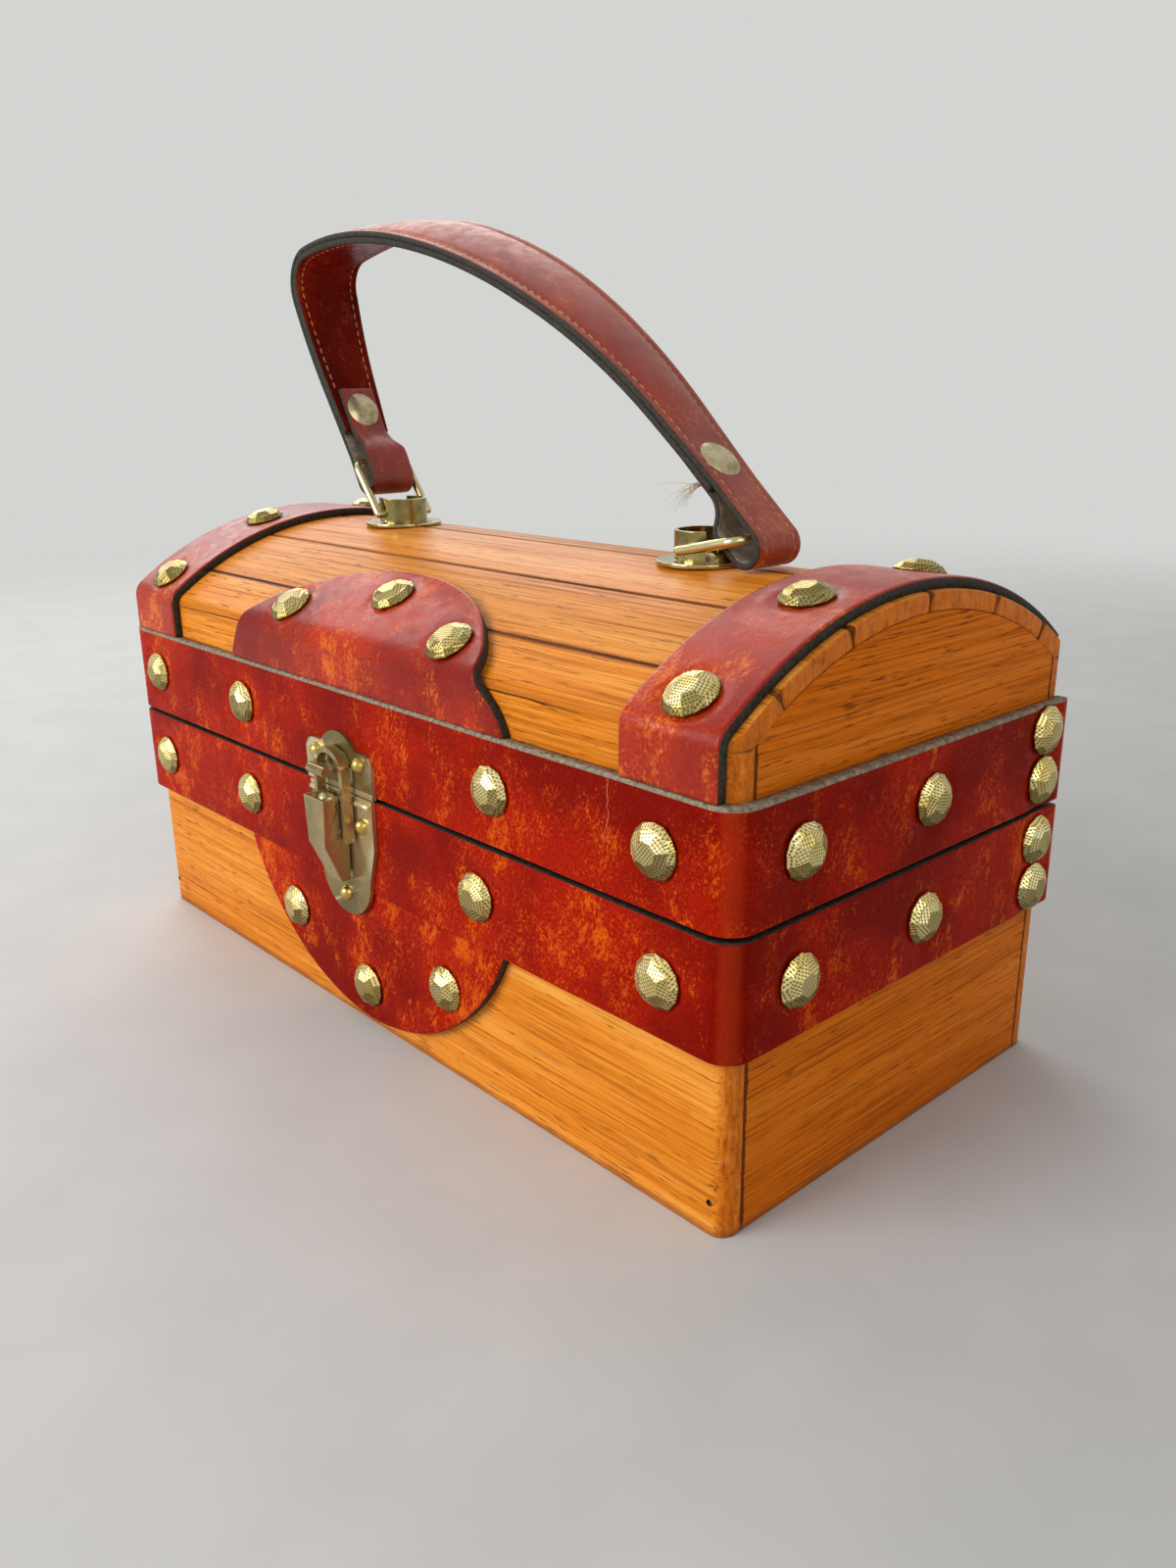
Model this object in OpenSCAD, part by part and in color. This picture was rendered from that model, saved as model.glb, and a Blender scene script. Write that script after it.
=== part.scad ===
// Domed wooden treasure-chest box with leather bands, hammered studs, a draw latch and a carrying handle.
// Frame: origin at the bottom centre of the box, +X to the right along its length, +Y to the back, +Z up.

/* [Box] */
// Length of the wooden box along X
box_len = 260; // [220:1:300]
// Depth of the wooden box along Y
box_dep = 124; // [110:1:140]
// Height of the wooden base
base_h = 70.5; // [64:0.5:84]
// Gap between base and lid when closed
lid_gap = 0.3; // [0.2:0.1:0.5]
// Thickness of the front, back and end boards
board_t = 5.5; // [5:0.5:8]
// Thickness of the bottom board
bottom_t = 4; // [3:0.5:6]
// Radius of the four upright corners
corner_r = 4; // [2:0.5:5]
// Thickness of the felt lining
felt_t = 1; // [0.5:0.1:1.5]
// Distance of the lining's edge below the base's rim
felt_drop = 3; // [2:0.5:8]

/* [Dome] */
// Height of the dome's shoulder above the lid's lower edge
shoulder_h = 39.2; // [36:0.1:46]
// Rise of the dome from shoulder to ridge
dome_rise = 21; // [18:0.5:26]
// Thickness of the staves
stave_t = 4.5; // [3.5:0.1:6]
// Radius of the dome's shoulder edge
shoulder_r = 3.4; // [2:0.1:5]
// Gap between neighbouring staves
stave_gap = 0.25; // [0.1:0.05:0.5]
// Angle of the inner stave joints from the ridge
inner_joint_a = 15.8; // [14:0.1:17]
// Angle of the outer stave joints from the ridge
outer_joint_a = 29.4; // [27:0.1:31]

/* [Leather] */
// Thickness of the two bands
band_t = 3; // [2:0.1:4]
// Height of each band
band_h = 26.3; // [22:0.1:28]
// Distance of each band from the parting between base and lid
band_edge = 1.1; // [0.6:0.1:2]
// Distance between the bands' ends and the back face
band_back_gap = 2; // [1:0.5:6]
// Thickness of the tongues and straps
tongue_t = 2.6; // [1.8:0.1:3]
// Radius of the lower tongue, about the parting line
lower_tongue_r = 67.5; // [60:0.5:68.5]
// Radius of the upper tongue, about the parting line
upper_tongue_r = 69.5; // [64:0.5:76]
// Clearance between a band and the leather that butts against it
butt_gap = 0.2; // [0.1:0.1:0.5]
// Width of the two straps over the dome
strap_w = 27; // [22:0.5:32]
// Distance from a strap to the box's end
strap_inset = 2; // [1:0.5:6]
// Angle from the ridge at which the straps end at the back
strap_back_a = 37; // [34:0.5:38]

/* [Studs] */
// Width across a stud's head
stud_d = 12.7; // [10:0.1:13]
// Height of a stud's head
stud_h = 3; // [2:0.1:4]
// Diameter of a stud's shank
stud_shank_d = 2; // [1.5:0.1:2.5]
// Depth of a shank in the wood
stud_bite = 3; // [2:0.1:3.4]
// Places along X of the front studs on the lower band
base_front_stud_x = [-115.5, -59, 52, 113];
// Places along X of the front studs on the upper band
lid_front_stud_x = [-115.5, -59, 59, 112];
// Place along Y of the first stud on an end
end_stud_front = -43.5; // [-50:0.5:-38]
// Place along Y of the second stud on an end
end_stud_mid = 2; // [-10:0.5:10]
// Place along Y of the stud pair on an end
end_stud_back = 51; // [40:0.5:52]
// Spacing of the stud pair on an end
end_stud_pair = 12.8; // [12.8:0.1:13]
// Angles of the strap studs from the ridge
strap_stud_a = [-33.5, -12.5, 10.5, 33];
// Distance from the middle to the outer studs of the tongues
tongue_stud_x = 37; // [30:0.5:42]
// Distance of the lower tongue's outer studs below the parting line
lower_stud_side = 44.5; // [40:0.5:48]
// Distance of the lower tongue's middle stud below the parting line
lower_stud_mid = 57; // [54:0.5:60]
// Angle of the upper tongue's outer studs from the ridge
upper_stud_side_a = 34; // [32:0.5:35]
// Angle of the upper tongue's middle stud from the ridge
upper_stud_mid_a = 28; // [26:0.5:30]
// Height of the panel pins above the bottom
panel_pin_z = 8; // [5:0.5:12]
// Diameter of the panel pins
panel_pin_d = 1.6; // [1.2:0.1:2]
// Length of the panel pins
panel_pin_len = 18; // [14:1:24]

/* [Hinges] */
// Distance of each hinge from the middle
hinge_x = 75; // [50:1:90]
// Width of a hinge
hinge_w = 27; // [21:1:36]
// Height of a hinge leaf
hinge_leaf_h = 18; // [14:1:22]
// Thickness of a hinge leaf
hinge_leaf_t = 1; // [0.8:0.1:1.4]
// Radius of the hinge knuckles
knuckle_r = 2.1; // [1.8:0.1:2.6]
// Radius of the hinge pins
hinge_pin_r = 1; // [0.8:0.1:1.2]
// Running clearance of a pivot, on the radius
pivot_gap = 0.05; // [0.02:0.01:0.08]
// Gap between a knuckle and its neighbours
knuckle_gap = 0.3; // [0.2:0.05:0.5]

/* [Latch] */
// Place of the latch along X
latch_x = -5; // [-12:0.5:12]
// Thickness of the latch plates
plate_t = 1.2; // [0.8:0.1:1.6]
// Half width of the strike plate
strike_half = 16; // [15:0.5:18]
// Height of the latch's lower plate below the parting
plate_drop = 36; // [34:0.5:40]
// Half width of the lower plate
plate_half = 15; // [14:0.5:16]
// Height of the lever's top above the lower plate's
lever_rise = 0.5; // [0:0.1:0.8]
// Length of the lever
lever_len = 24.5; // [22:0.5:26]
// Width of the lever at its top
lever_w = 10; // [9:0.5:11]
// Width of the lever at its knee
lever_knee_w = 8; // [7.5:0.1:9]
// Width of the lever at its tip
lever_tip_w = 6.6; // [5:0.1:8]
// Sheet thickness of the lever
lever_t = 0.8; // [0.6:0.1:1]
// Stand-off of the lever's front from the leather
lever_front = 9.5; // [9:0.1:11]
// Width of the bail's two legs
bail_leg = 1.5; // [1.2:0.1:2]
// Clearance between bail and lever on each side
bail_gap = 0.6; // [0.4:0.1:1]
// Depth of the bail
bail_d = 2.8; // [2.4:0.1:3.2]
// Radius of the latch's pivot pins
latch_pin_r = 1; // [0.8:0.05:1.1]
// Radius of a nail head on the latch
nail_head_r = 2.2; // [1.8:0.1:2.3]
// Half the distance between the strike plate's nails
strike_nail_x = 10.4; // [10.2:0.1:11]

/* [Handle] */
// Distance of each bracket from the middle
bracket_x = 65; // [58:0.5:68]
// Diameter of a bracket's flange
flange_d = 24; // [22:0.5:28]
// Thickness of a bracket's flange
flange_t = 1; // [0.8:0.1:1.4]
// Outer diameter of a bracket's cup
cup_d = 15; // [14:0.1:15.4]
// Height of a bracket's cup above its flange
cup_h = 7.3; // [6.5:0.1:8]
// Wall of a bracket's cup
cup_t = 1; // [0.8:0.1:1.4]
// Height of a ring's pivot above the flange
ring_pivot_h = 2.7; // [2.5:0.1:3.5]
// Radius of the ring wire
wire_r = 1.25; // [1:0.05:1.4]
// Length of a ring from pivot to bar
ring_len = 19; // [18:0.25:20]
// Lean of the left ring from upright, outwards
left_lean = 37; // [35:0.5:39]
// Lean of the right ring from upright, outwards
right_lean = 78; // [76:0.5:80]
// Bend radius of a ring's bar corners
ring_bend_r = 3; // [2.5:0.25:4]
// Width of the handle's grip
handle_w = 23; // [21:0.5:25]
// Width of the handle's ends in the rings
handle_end_w = 15.5; // [15:0.25:17]
// Clearance between the leather's edge and a ring's leg
handle_side_gap = 0.4; // [0.3:0.1:1.5]
// Thickness of each of the handle's two leather layers
handle_t = 1.7; // [1.4:0.1:1.9]
// Outer radius of the folded loops
loop_r = 5.1; // [4.9:0.1:5.2]
// Straight length of a folded loop
loop_straight = 7.5; // [7:0.25:9]
// Length of a fold's tail along the strap
tail_len = 14.5; // [13:0.5:20]
// Diameter of a handle rivet's cap
cap_d = 11; // [9:0.5:12]
// Height of a handle rivet's cap
cap_h = 1.6; // [1:0.1:2]

/* [Hidden] */
$fn = 64;

wood = "#c8792f";
end_wood = "#b5652a";
felt = "#5c1f1a";
leather = "#7d1d12";
brass = "#b9994e";
bronze = "#8d7a4b";
plated = "#d3c08a";
eps = 0.01;
half_len = box_len / 2;
half_dep = box_dep / 2;
in_len = half_len - board_t;
in_dep = half_dep - board_t;
lid_z = base_h + lid_gap;
part_z = base_h + lid_gap / 2;
sides = [-1, 1];

// Dome arc through both shoulders and the ridge
dome_r = (half_dep * half_dep + dome_rise * dome_rise) / (2 * dome_rise);
ridge_z = lid_z + shoulder_h + dome_rise;
dome_z = ridge_z - dome_r;
under_r = dome_r - stave_t;
shoulder_y = half_dep - shoulder_r;
shoulder_z = dome_z + sqrt(pow(dome_r - shoulder_r, 2) - shoulder_y * shoulder_y);
shoulder_a = asin(shoulder_y / (dome_r - shoulder_r));
edge_a = 60;
// Keeps the staves' rounded corners off the shoulder's tangent plane
corner_ease = 0.05;
joint_a = [-edge_a, -outer_joint_a, -inner_joint_a, 0, inner_joint_a, outer_joint_a, edge_a];

// Bands
base_band_z = part_z - band_edge - band_h;
lid_band_z = part_z + band_edge;
lid_band_top = lid_band_z + band_h;
base_stud_z = base_band_z + band_h / 2;
lid_stud_z = lid_band_z + band_h / 2;
strap_x = half_len - strap_inset - strap_w / 2;
tongue_step = 3;

// Hinges
hinge_y = half_dep + knuckle_r + knuckle_gap;
knuckle_w = hinge_w / 3;
leaf_clear = knuckle_r + knuckle_gap;
hinge_nail_inset = 5;
hinge_nail_x = hinge_w / 2 - hinge_nail_inset;
hinge_nail_r = 1.8;
hinge_nail_h = 0.8;
small_shank_r = 0.7;
small_shank_len = 4.5;

// Latch, with w the stand-off from the leather
latch_y = -half_dep - band_t;
strike_z = lid_band_z + 0.3;
strike_nail_h = 7.5;
hook_h = 5;
strike_nail_z = strike_z + strike_nail_h;
hook_z = strike_z + hook_h;
hook_half = 4;
hook_t = 1.2;
hook_reach = 7.2;
hook_roll_r = 1.5;
hook_roll_rise = 0.4;
hump_r = 9.6;
hump_drop = 2.3;
strike_ear_r = 3.2;
plate_top = part_z - band_edge;
plate_low = part_z - plate_drop;
plate_end_r = 12;
plate_straight = 13;
plate_nail_x = 10;
plate_nail_drop = 7;
plate_foot_nail = 6;
plate_nails = [
    [-plate_nail_x, plate_top - plate_nail_drop], [plate_nail_x, plate_top - plate_nail_drop],
    [0, plate_low + plate_foot_nail]
];
nail_head_h = 2;
lever_top = plate_top + lever_rise;
lever_tip = lever_top - lever_len;
lever_knee = lever_top - lever_len * 0.53;
lever_tip_front = 4.6;
lever_back = plate_t + 0.5;
lever_lean = 0.8;
lever_lean_h = 4.5;
lever_pivot_drop = 2.2;
bail_pivot_drop = 10.5;
lever_pivot = [4.5, lever_top - lever_pivot_drop];
bail_pivot = [3.3, lever_top - bail_pivot_drop];
bail_in = lever_w / 2 + bail_gap;
bail_out = bail_in + bail_leg;
bail_arch_z = hook_z - 1.1;
bail_foot = 2;
ear_t = 1.2;
ear_out = lever_w / 2 - lever_t - 0.8;
ear_r = 2;

// Brackets, rings and handle
flange_top = ridge_z + flange_t;
pivot_z = flange_top + ring_pivot_h;
leg_y = handle_end_w / 2 + handle_side_gap + wire_r;
stub_in = cup_d / 2 - cup_t - 0.5;
cup_mouth_a = 45;
rivet_head_r = 3.5;
rivet_head_h = 1.8;
rivet_shank_r = 1.5;
rivet_shank_len = 7;
left_bar = [-bracket_x - ring_len * sin(left_lean), pivot_z + ring_len * cos(left_lean)];
right_bar = [bracket_x + ring_len * sin(right_lean), pivot_z + ring_len * cos(right_lean)];
cap_shank_r = 1.6;
taper_lift = 1.5;
taper_run = 48;
taper_low = left_bar[1] + taper_lift;
taper_high = taper_low + taper_run;
taper_top = taper_high + box_dep;

// Outer face of the handle, from the left fold to the right one: length and turn of each arc,
// turned and drawn to run between the places where the two bars sit in the folds
left_seat = [-2.07, -7.17];
right_seat = [3.7855, 1.95414];
handle_start = left_bar + left_seat;
handle_span = right_bar + right_seat - handle_start;
handle_form = [[33.3, 0], [30.4, -11], [18.6, -93.5], [69.9, -28], [96.6, -26], [40.4, 0]];
path_step = 3;
form_end = last(walk([0, 0, 0], handle_form));
handle_scale = norm(handle_span) / norm([form_end[0], form_end[1]]);
handle_heading = atan2(handle_span[1], handle_span[0]) - atan2(form_end[1], form_end[0]);
handle_arcs = [for (a = handle_form) [a[0] * handle_scale, a[1]]];
// Fold and tail, in walking order away from the strap: round the bar, back along it, then in against it
stack_t = 3 * handle_t;
fold_turn = 60;
fold_shift = 2 * loop_r - stack_t;
fold_r = fold_shift / (2 * (1 - cos(fold_turn)));
fold_arc = fold_r * fold_turn * PI / 180;
fold_len = 2 * fold_r * sin(fold_turn);
fold_arcs = [
    [loop_r * PI, -180], [loop_straight, 0], [fold_arc, -fold_turn], [fold_arc, fold_turn], [tail_len, 0]
];
cap_from_fold = loop_straight + fold_len + tail_len / 2;

// Points and headings along a list of arcs: each entry is x, z, heading
function arc_steps(a) = max(1, ceil(max(a[0] / path_step, abs(a[1]) / 12)));
function arc_chord(a, n) = a[1] == 0 ? a[0] / n : 2 * a[0] / (a[1] * PI / 180) * sin(a[1] / n / 2);
function arc_next(p, a, n) =
    let (h = p[2] + a[1] / n / 2)
    [p[0] + arc_chord(a, n) * cos(h), p[1] + arc_chord(a, n) * sin(h), p[2] + a[1] / n];
function arc_walk(p, a, n, i = 0) = i == n ? [] : let (q = arc_next(p, a, n)) concat([q], arc_walk(q, a, n, i + 1));
function walk(p, arcs, i = 0) =
    i == len(arcs) ? [p] :
    let (w = arc_walk(p, arcs[i], arc_steps(arcs[i])))
    concat([p], [for (k = [0 : 1 : len(w) - 2]) w[k]], walk(w[len(w) - 1], arcs, i + 1));
function last(v) = v[len(v) - 1];
// The point at a distance d to the right of a path point
function aside(p, d) = [p[0] + d * cos(p[2] - 90), p[1] + d * sin(p[2] - 90)];
// The same arcs with a length taken off the first and the last
function trimmed(arcs, d) = [
    for (i = [0 : len(arcs) - 1])
    let (cut = i == 0 || i == len(arcs) - 1 ? d : 0)
    [arcs[i][0] - cut, arcs[i][1] * (arcs[i][0] - cut) / arcs[i][0]]
];
// A mirrored path turns the other way
function flipped(p) = [p[0], p[1], p[2] + 180];
function unturned(arcs) = [for (a = arcs) [a[0], -a[1]]];

strap_start = [handle_start[0], handle_start[1], handle_heading];
strap_path = walk(strap_start, handle_arcs);
strap_end = last(strap_path);
right_fold = walk(strap_end, fold_arcs);
left_fold = walk(flipped(strap_start), unturned(fold_arcs));
lining_trim = loop_straight + fold_len;
lining_start = arc_next(strap_start, [lining_trim, handle_arcs[0][1] * lining_trim / handle_arcs[0][0]], 1);
lining_path = walk(lining_start, trimmed(handle_arcs, lining_trim));
left_cap = arc_next(strap_start, [cap_from_fold, handle_arcs[0][1] * cap_from_fold / handle_arcs[0][0]], 1);
right_cap = arc_next(flipped(strap_end), [cap_from_fold, 0], 1);

// Plan of the box with round upright corners
module rounded_plan(grow = 0) {
    l = box_len + 2 * grow;
    d = box_dep + 2 * grow;
    r = corner_r + grow;
    square([l - 2 * r, d], center = true);
    square([l, d - 2 * r], center = true);
    for (sx = sides, sy = sides)
        translate([sx * (l / 2 - r), sy * (d / 2 - r)]) circle(r);
}

// Stands a YZ outline up and draws it along X, centred
module along_x(l) {
    rotate([90, 0, 90]) linear_extrude(l, center = true) children();
}

// Stands an XZ outline up as a slab from y = 0 to y = t
module upright(t) {
    rotate([90, 0, 0]) translate([0, 0, -t]) linear_extrude(t) children();
}

// Rod along X, centred
module rod_x(r, l) {
    rotate([0, 90, 0]) cylinder(h = l, r = r, center = true);
}

// Rod along Y, centred
module rod_y(r, l) {
    rotate([90, 0, 0]) cylinder(h = l, r = r, center = true);
}

// Outline of the lid in YZ, grown outwards
module lid_outline(grow = 0) {
    reach = 2 * dome_r;
    translate([-half_dep - grow, lid_z]) square([box_dep + 2 * grow, shoulder_z - lid_z]);
    intersection() {
        translate([0, dome_z]) circle(dome_r + grow, $fn = 180);
        translate([0, dome_z])
            polygon([[0, 0], [-reach * sin(shoulder_a), reach * cos(shoulder_a)],
                     [reach * sin(shoulder_a), reach * cos(shoulder_a)]]);
    }
    for (s = sides)
        translate([s * shoulder_y, shoulder_z]) circle(shoulder_r + grow);
}

// Region of the lid's outline under the staves
module under_staves() {
    translate([0, dome_z]) circle(under_r, $fn = 180);
}

// Wedge about the dome's axis between two angles from upright
module wedge(a0, a1) {
    reach = 3 * dome_r;
    translate([0, dome_z])
        polygon([[0, 0], [reach * sin(a0), reach * cos(a0)], [reach * sin(a1), reach * cos(a1)]]);
}

// Places its children on the dome's leather at an angle from the ridge, pointing outwards
module on_dome(x, a, r) {
    translate([x, 0, dome_z]) rotate([-a, 0, 0]) translate([0, 0, r]) children();
}

// Places its children on the front, pointing outwards
module on_front(x, z, out) {
    translate([x, -half_dep - out, z]) rotate([90, 0, 0]) children();
}

// Places its children on the left (s = -1) or right (s = 1) end, pointing outwards
module on_end(s, y, z, out) {
    translate([s * (half_len + out), y, z]) rotate([0, 90 * s, 0]) children();
}

// Hammered stud with eight facets, standing on z = 0, with its shank below
module stud(skin) {
    rim_h = stud_h * 0.6;
    waist_d = stud_d * 0.72;
    top_d = stud_d * 0.4;
    cylinder(d1 = stud_d, d2 = waist_d, h = rim_h, $fn = 8);
    translate([0, 0, rim_h]) cylinder(d1 = waist_d, d2 = top_d, h = stud_h - rim_h, $fn = 8);
    translate([0, 0, -skin - stud_bite]) cylinder(d = stud_shank_d, h = skin + stud_bite + eps, $fn = 8);
}

// Low round cap standing on z = 0
module cap(r, h) {
    dome = (r * r + h * h) / (2 * h);
    intersection() {
        translate([0, 0, h - dome]) sphere(dome);
        cylinder(h = h, r = r);
    }
}

// Round-head nail standing on z = 0, with its shank below
module nail(head_r, head_h, shank_r, shank_len) {
    cap(head_r, head_h);
    translate([0, 0, -shank_len]) cylinder(h = shank_len + head_h / 2, r = shank_r);
}

// Board of the box between two heights along Y, from z0 up
module long_board(s, z0, h) {
    translate([0, 0, z0]) linear_extrude(h) intersection() {
        rounded_plan();
        translate([0, s * (half_dep - board_t / 2)]) square([box_len, board_t], center = true);
    }
}

module end_board(s, z0, h) {
    translate([s * (half_len - board_t / 2), 0, z0 + h / 2]) cube([board_t, 2 * in_dep, h], center = true);
}

module base_front_board() { color(wood) long_board(-1, 0, base_h); }
module base_back_board() { color(wood) long_board(1, 0, base_h); }
module base_left_end_board() { color(end_wood) end_board(-1, 0, base_h); }
module base_right_end_board() { color(end_wood) end_board(1, 0, base_h); }

module base_bottom_board() {
    color(wood) translate([-in_len, -in_dep, 0]) cube([2 * in_len, 2 * in_dep, bottom_t]);
}

module base_panel_pins() {
    color(bronze)
        for (sx = sides, sy = sides)
            translate([sx * (half_len - corner_r), sy * (half_dep - panel_pin_len / 2), panel_pin_z])
                rod_y(panel_pin_d / 2, panel_pin_len);
}

module base_lining() {
    rim = base_h - felt_drop - bottom_t;
    color(felt) difference() {
        translate([-in_len, -in_dep, bottom_t]) cube([2 * in_len, 2 * in_dep, rim]);
        translate([felt_t - in_len, felt_t - in_dep, bottom_t + felt_t])
            cube([2 * (in_len - felt_t), 2 * (in_dep - felt_t), rim]);
    }
}

module band(z0) {
    color(leather) translate([0, 0, z0]) linear_extrude(band_h) intersection() {
        difference() {
            rounded_plan(band_t);
            rounded_plan();
        }
        translate([-box_len, -box_dep]) square([2 * box_len, box_dep + half_dep - band_back_gap]);
    }
}

module base_band() { band(base_band_z); }
module lid_band() { band(lid_band_z); }

module base_tongue() {
    color(leather) translate([0, -half_dep - tongue_t, 0]) upright(tongue_t) intersection() {
        translate([0, part_z]) circle(lower_tongue_r, $fn = 120);
        translate([-half_len, 0]) square([box_len, base_band_z - butt_gap]);
    }
}

// Studs of one band: front, two ends and the upright pairs at the back of the ends
module band_studs(z, front_x) {
    color(brass) {
        for (x = front_x) on_front(x, z, band_t) stud(band_t);
        for (s = sides, y = [end_stud_front, end_stud_mid]) on_end(s, y, z, band_t) stud(band_t);
        for (s = sides, k = sides) on_end(s, end_stud_back, z + k * end_stud_pair / 2, band_t) stud(band_t);
    }
}

module base_band_studs() { band_studs(base_stud_z, base_front_stud_x); }
module lid_band_studs() { band_studs(lid_stud_z, lid_front_stud_x); }

module base_tongue_studs() {
    color(brass) {
        for (s = sides) on_front(s * tongue_stud_x, part_z - lower_stud_side, tongue_t) stud(tongue_t);
        on_front(0, part_z - lower_stud_mid, tongue_t) stud(tongue_t);
    }
}

module lid_rail(s) {
    intersection() {
        long_board(s, lid_z, shoulder_h + dome_rise);
        along_x(box_len) under_staves();
    }
}

module lid_front_rail() { color(wood) lid_rail(-1); }
module lid_back_rail() { color(wood) lid_rail(1); }

module lid_end(s) {
    color(end_wood) intersection() {
        end_board(s, lid_z, shoulder_h + dome_rise);
        along_x(box_len) under_staves();
    }
}

module lid_left_end() { lid_end(-1); }
module lid_right_end() { lid_end(1); }

// Stave number i, from the front, with half of each joint's gap taken off its sides
module stave(i) {
    trim = stave_gap / 2 / dome_r * 180 / PI;
    color(wood) intersection() {
        along_x(box_len) intersection() {
            difference() {
                lid_outline();
                under_staves();
            }
            wedge(joint_a[i - 1] + trim, joint_a[i] - trim);
        }
        translate([0, 0, lid_z]) linear_extrude(ridge_z) rounded_plan(corner_ease);
    }
}

module lid_lining() {
    color(felt) along_x(2 * in_len) intersection() {
        difference() {
            under_staves();
            translate([0, dome_z]) circle(under_r - felt_t, $fn = 180);
        }
        translate([-in_dep, lid_z]) square([2 * in_dep, shoulder_h + dome_rise]);
    }
}

// Outline in YZ of the leather that follows the lid from the band over the shoulder
module lid_skin() {
    difference() {
        lid_outline(tongue_t);
        lid_outline();
        translate([-box_dep, 0]) square([2 * box_dep, lid_band_top + butt_gap]);
    }
}

// The round end over the shoulder is cut square to the dome halfway along it
module lid_tongue() {
    front_arc = shoulder_z - part_z + (shoulder_r + tongue_t) * (90 - shoulder_a) * PI / 180;
    tilt = shoulder_a - (upper_tongue_r - front_arc) / (dome_r + tongue_t) * 90 / PI;
    seam_y = (dome_r + tongue_t) * sin(shoulder_a);
    seam_z = dome_z + (dome_r + tongue_t) * cos(shoulder_a);
    color(leather) {
        intersection() {
            along_x(2 * upper_tongue_r) intersection() {
                lid_skin();
                translate([-box_dep, 0]) square([box_dep, shoulder_z]);
            }
            translate([0, -half_dep, part_z]) rod_y(upper_tongue_r, box_dep);
        }
        intersection() {
            along_x(2 * upper_tongue_r) intersection() {
                lid_skin();
                translate([-box_dep, shoulder_z]) square([box_dep, ridge_z]);
            }
            translate([0, -seam_y, seam_z]) rotate([tilt, 0, 0]) translate([0, -front_arc, 0])
                linear_extrude(box_dep / 2, center = true)
                    polygon([for (a = [0 : tongue_step : 180]) upper_tongue_r * [cos(a), sin(a)]]);
        }
    }
}

module lid_strap(s) {
    color(leather) translate([s * strap_x, 0, 0]) along_x(strap_w) intersection() {
        lid_skin();
        union() {
            translate([-box_dep, 0]) square([box_dep, shoulder_z]);
            wedge(-edge_a, strap_back_a);
        }
    }
}

module lid_left_strap() { lid_strap(-1); }
module lid_right_strap() { lid_strap(1); }

module lid_tongue_studs() {
    color(brass) {
        for (s = sides) on_dome(s * tongue_stud_x, -upper_stud_side_a, dome_r + tongue_t) stud(tongue_t);
        on_dome(0, -upper_stud_mid_a, dome_r + tongue_t) stud(tongue_t);
    }
}

module lid_strap_studs() {
    color(brass)
        for (s = sides, a = strap_stud_a) on_dome(s * strap_x, a, dome_r + tongue_t) stud(tongue_t);
}

// Hinge leaf with its plate on the back face and the named knuckles round the pin
module hinge_leaf(s, plate_z, web_z, knuckles, bore_r) {
    color(brass) translate([s * hinge_x, 0, 0]) difference() {
        union() {
            translate([-hinge_w / 2, half_dep, plate_z]) cube([hinge_w, hinge_leaf_t, hinge_leaf_h]);
            for (k = knuckles) {
                translate([k * knuckle_w, hinge_y, part_z]) rod_x(knuckle_r, knuckle_w - knuckle_gap);
                translate([k * knuckle_w - (knuckle_w - knuckle_gap) / 2, half_dep, web_z])
                    cube([knuckle_w - knuckle_gap, hinge_leaf_t, leaf_clear]);
            }
        }
        translate([0, hinge_y, part_z]) rod_x(bore_r, 2 * hinge_w);
    }
}

module base_leaf(s) {
    hinge_leaf(s, part_z - leaf_clear - hinge_leaf_h, part_z - leaf_clear - lid_gap, sides, hinge_pin_r);
}

module lid_leaf(s) {
    hinge_leaf(s, part_z + leaf_clear, part_z + lid_gap, [0], hinge_pin_r + pivot_gap);
}

module hinge_pin(s) {
    color(bronze) translate([s * hinge_x, hinge_y, part_z]) rod_x(hinge_pin_r, hinge_w);
}

module hinge_nails(z) {
    color(brass)
        for (s = sides, k = sides)
            translate([s * hinge_x + k * hinge_nail_x, half_dep + hinge_leaf_t, z]) rotate([-90, 0, 0])
                nail(hinge_nail_r, hinge_nail_h, small_shank_r, small_shank_len);
}

module left_hinge_base_leaf() { base_leaf(-1); }
module right_hinge_base_leaf() { base_leaf(1); }
module left_hinge_lid_leaf() { lid_leaf(-1); }
module right_hinge_lid_leaf() { lid_leaf(1); }
module left_hinge_pin() { hinge_pin(-1); }
module right_hinge_pin() { hinge_pin(1); }
module hinge_base_nails() { hinge_nails(part_z - leaf_clear - hinge_leaf_h / 2); }
module hinge_lid_nails() { hinge_nails(part_z + leaf_clear + hinge_leaf_h / 2); }

// Puts latch pieces on the front leather: y becomes the stand-off from it
module at_latch() {
    translate([latch_x, latch_y, 0]) mirror([0, 1, 0]) children();
}

module latch_nails(places) {
    color(brass) at_latch()
        for (p = places)
            translate([p[0], plate_t, p[1]]) rotate([-90, 0, 0])
                nail(nail_head_r, nail_head_h, small_shank_r, plate_t + band_t + small_shank_len);
}

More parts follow.
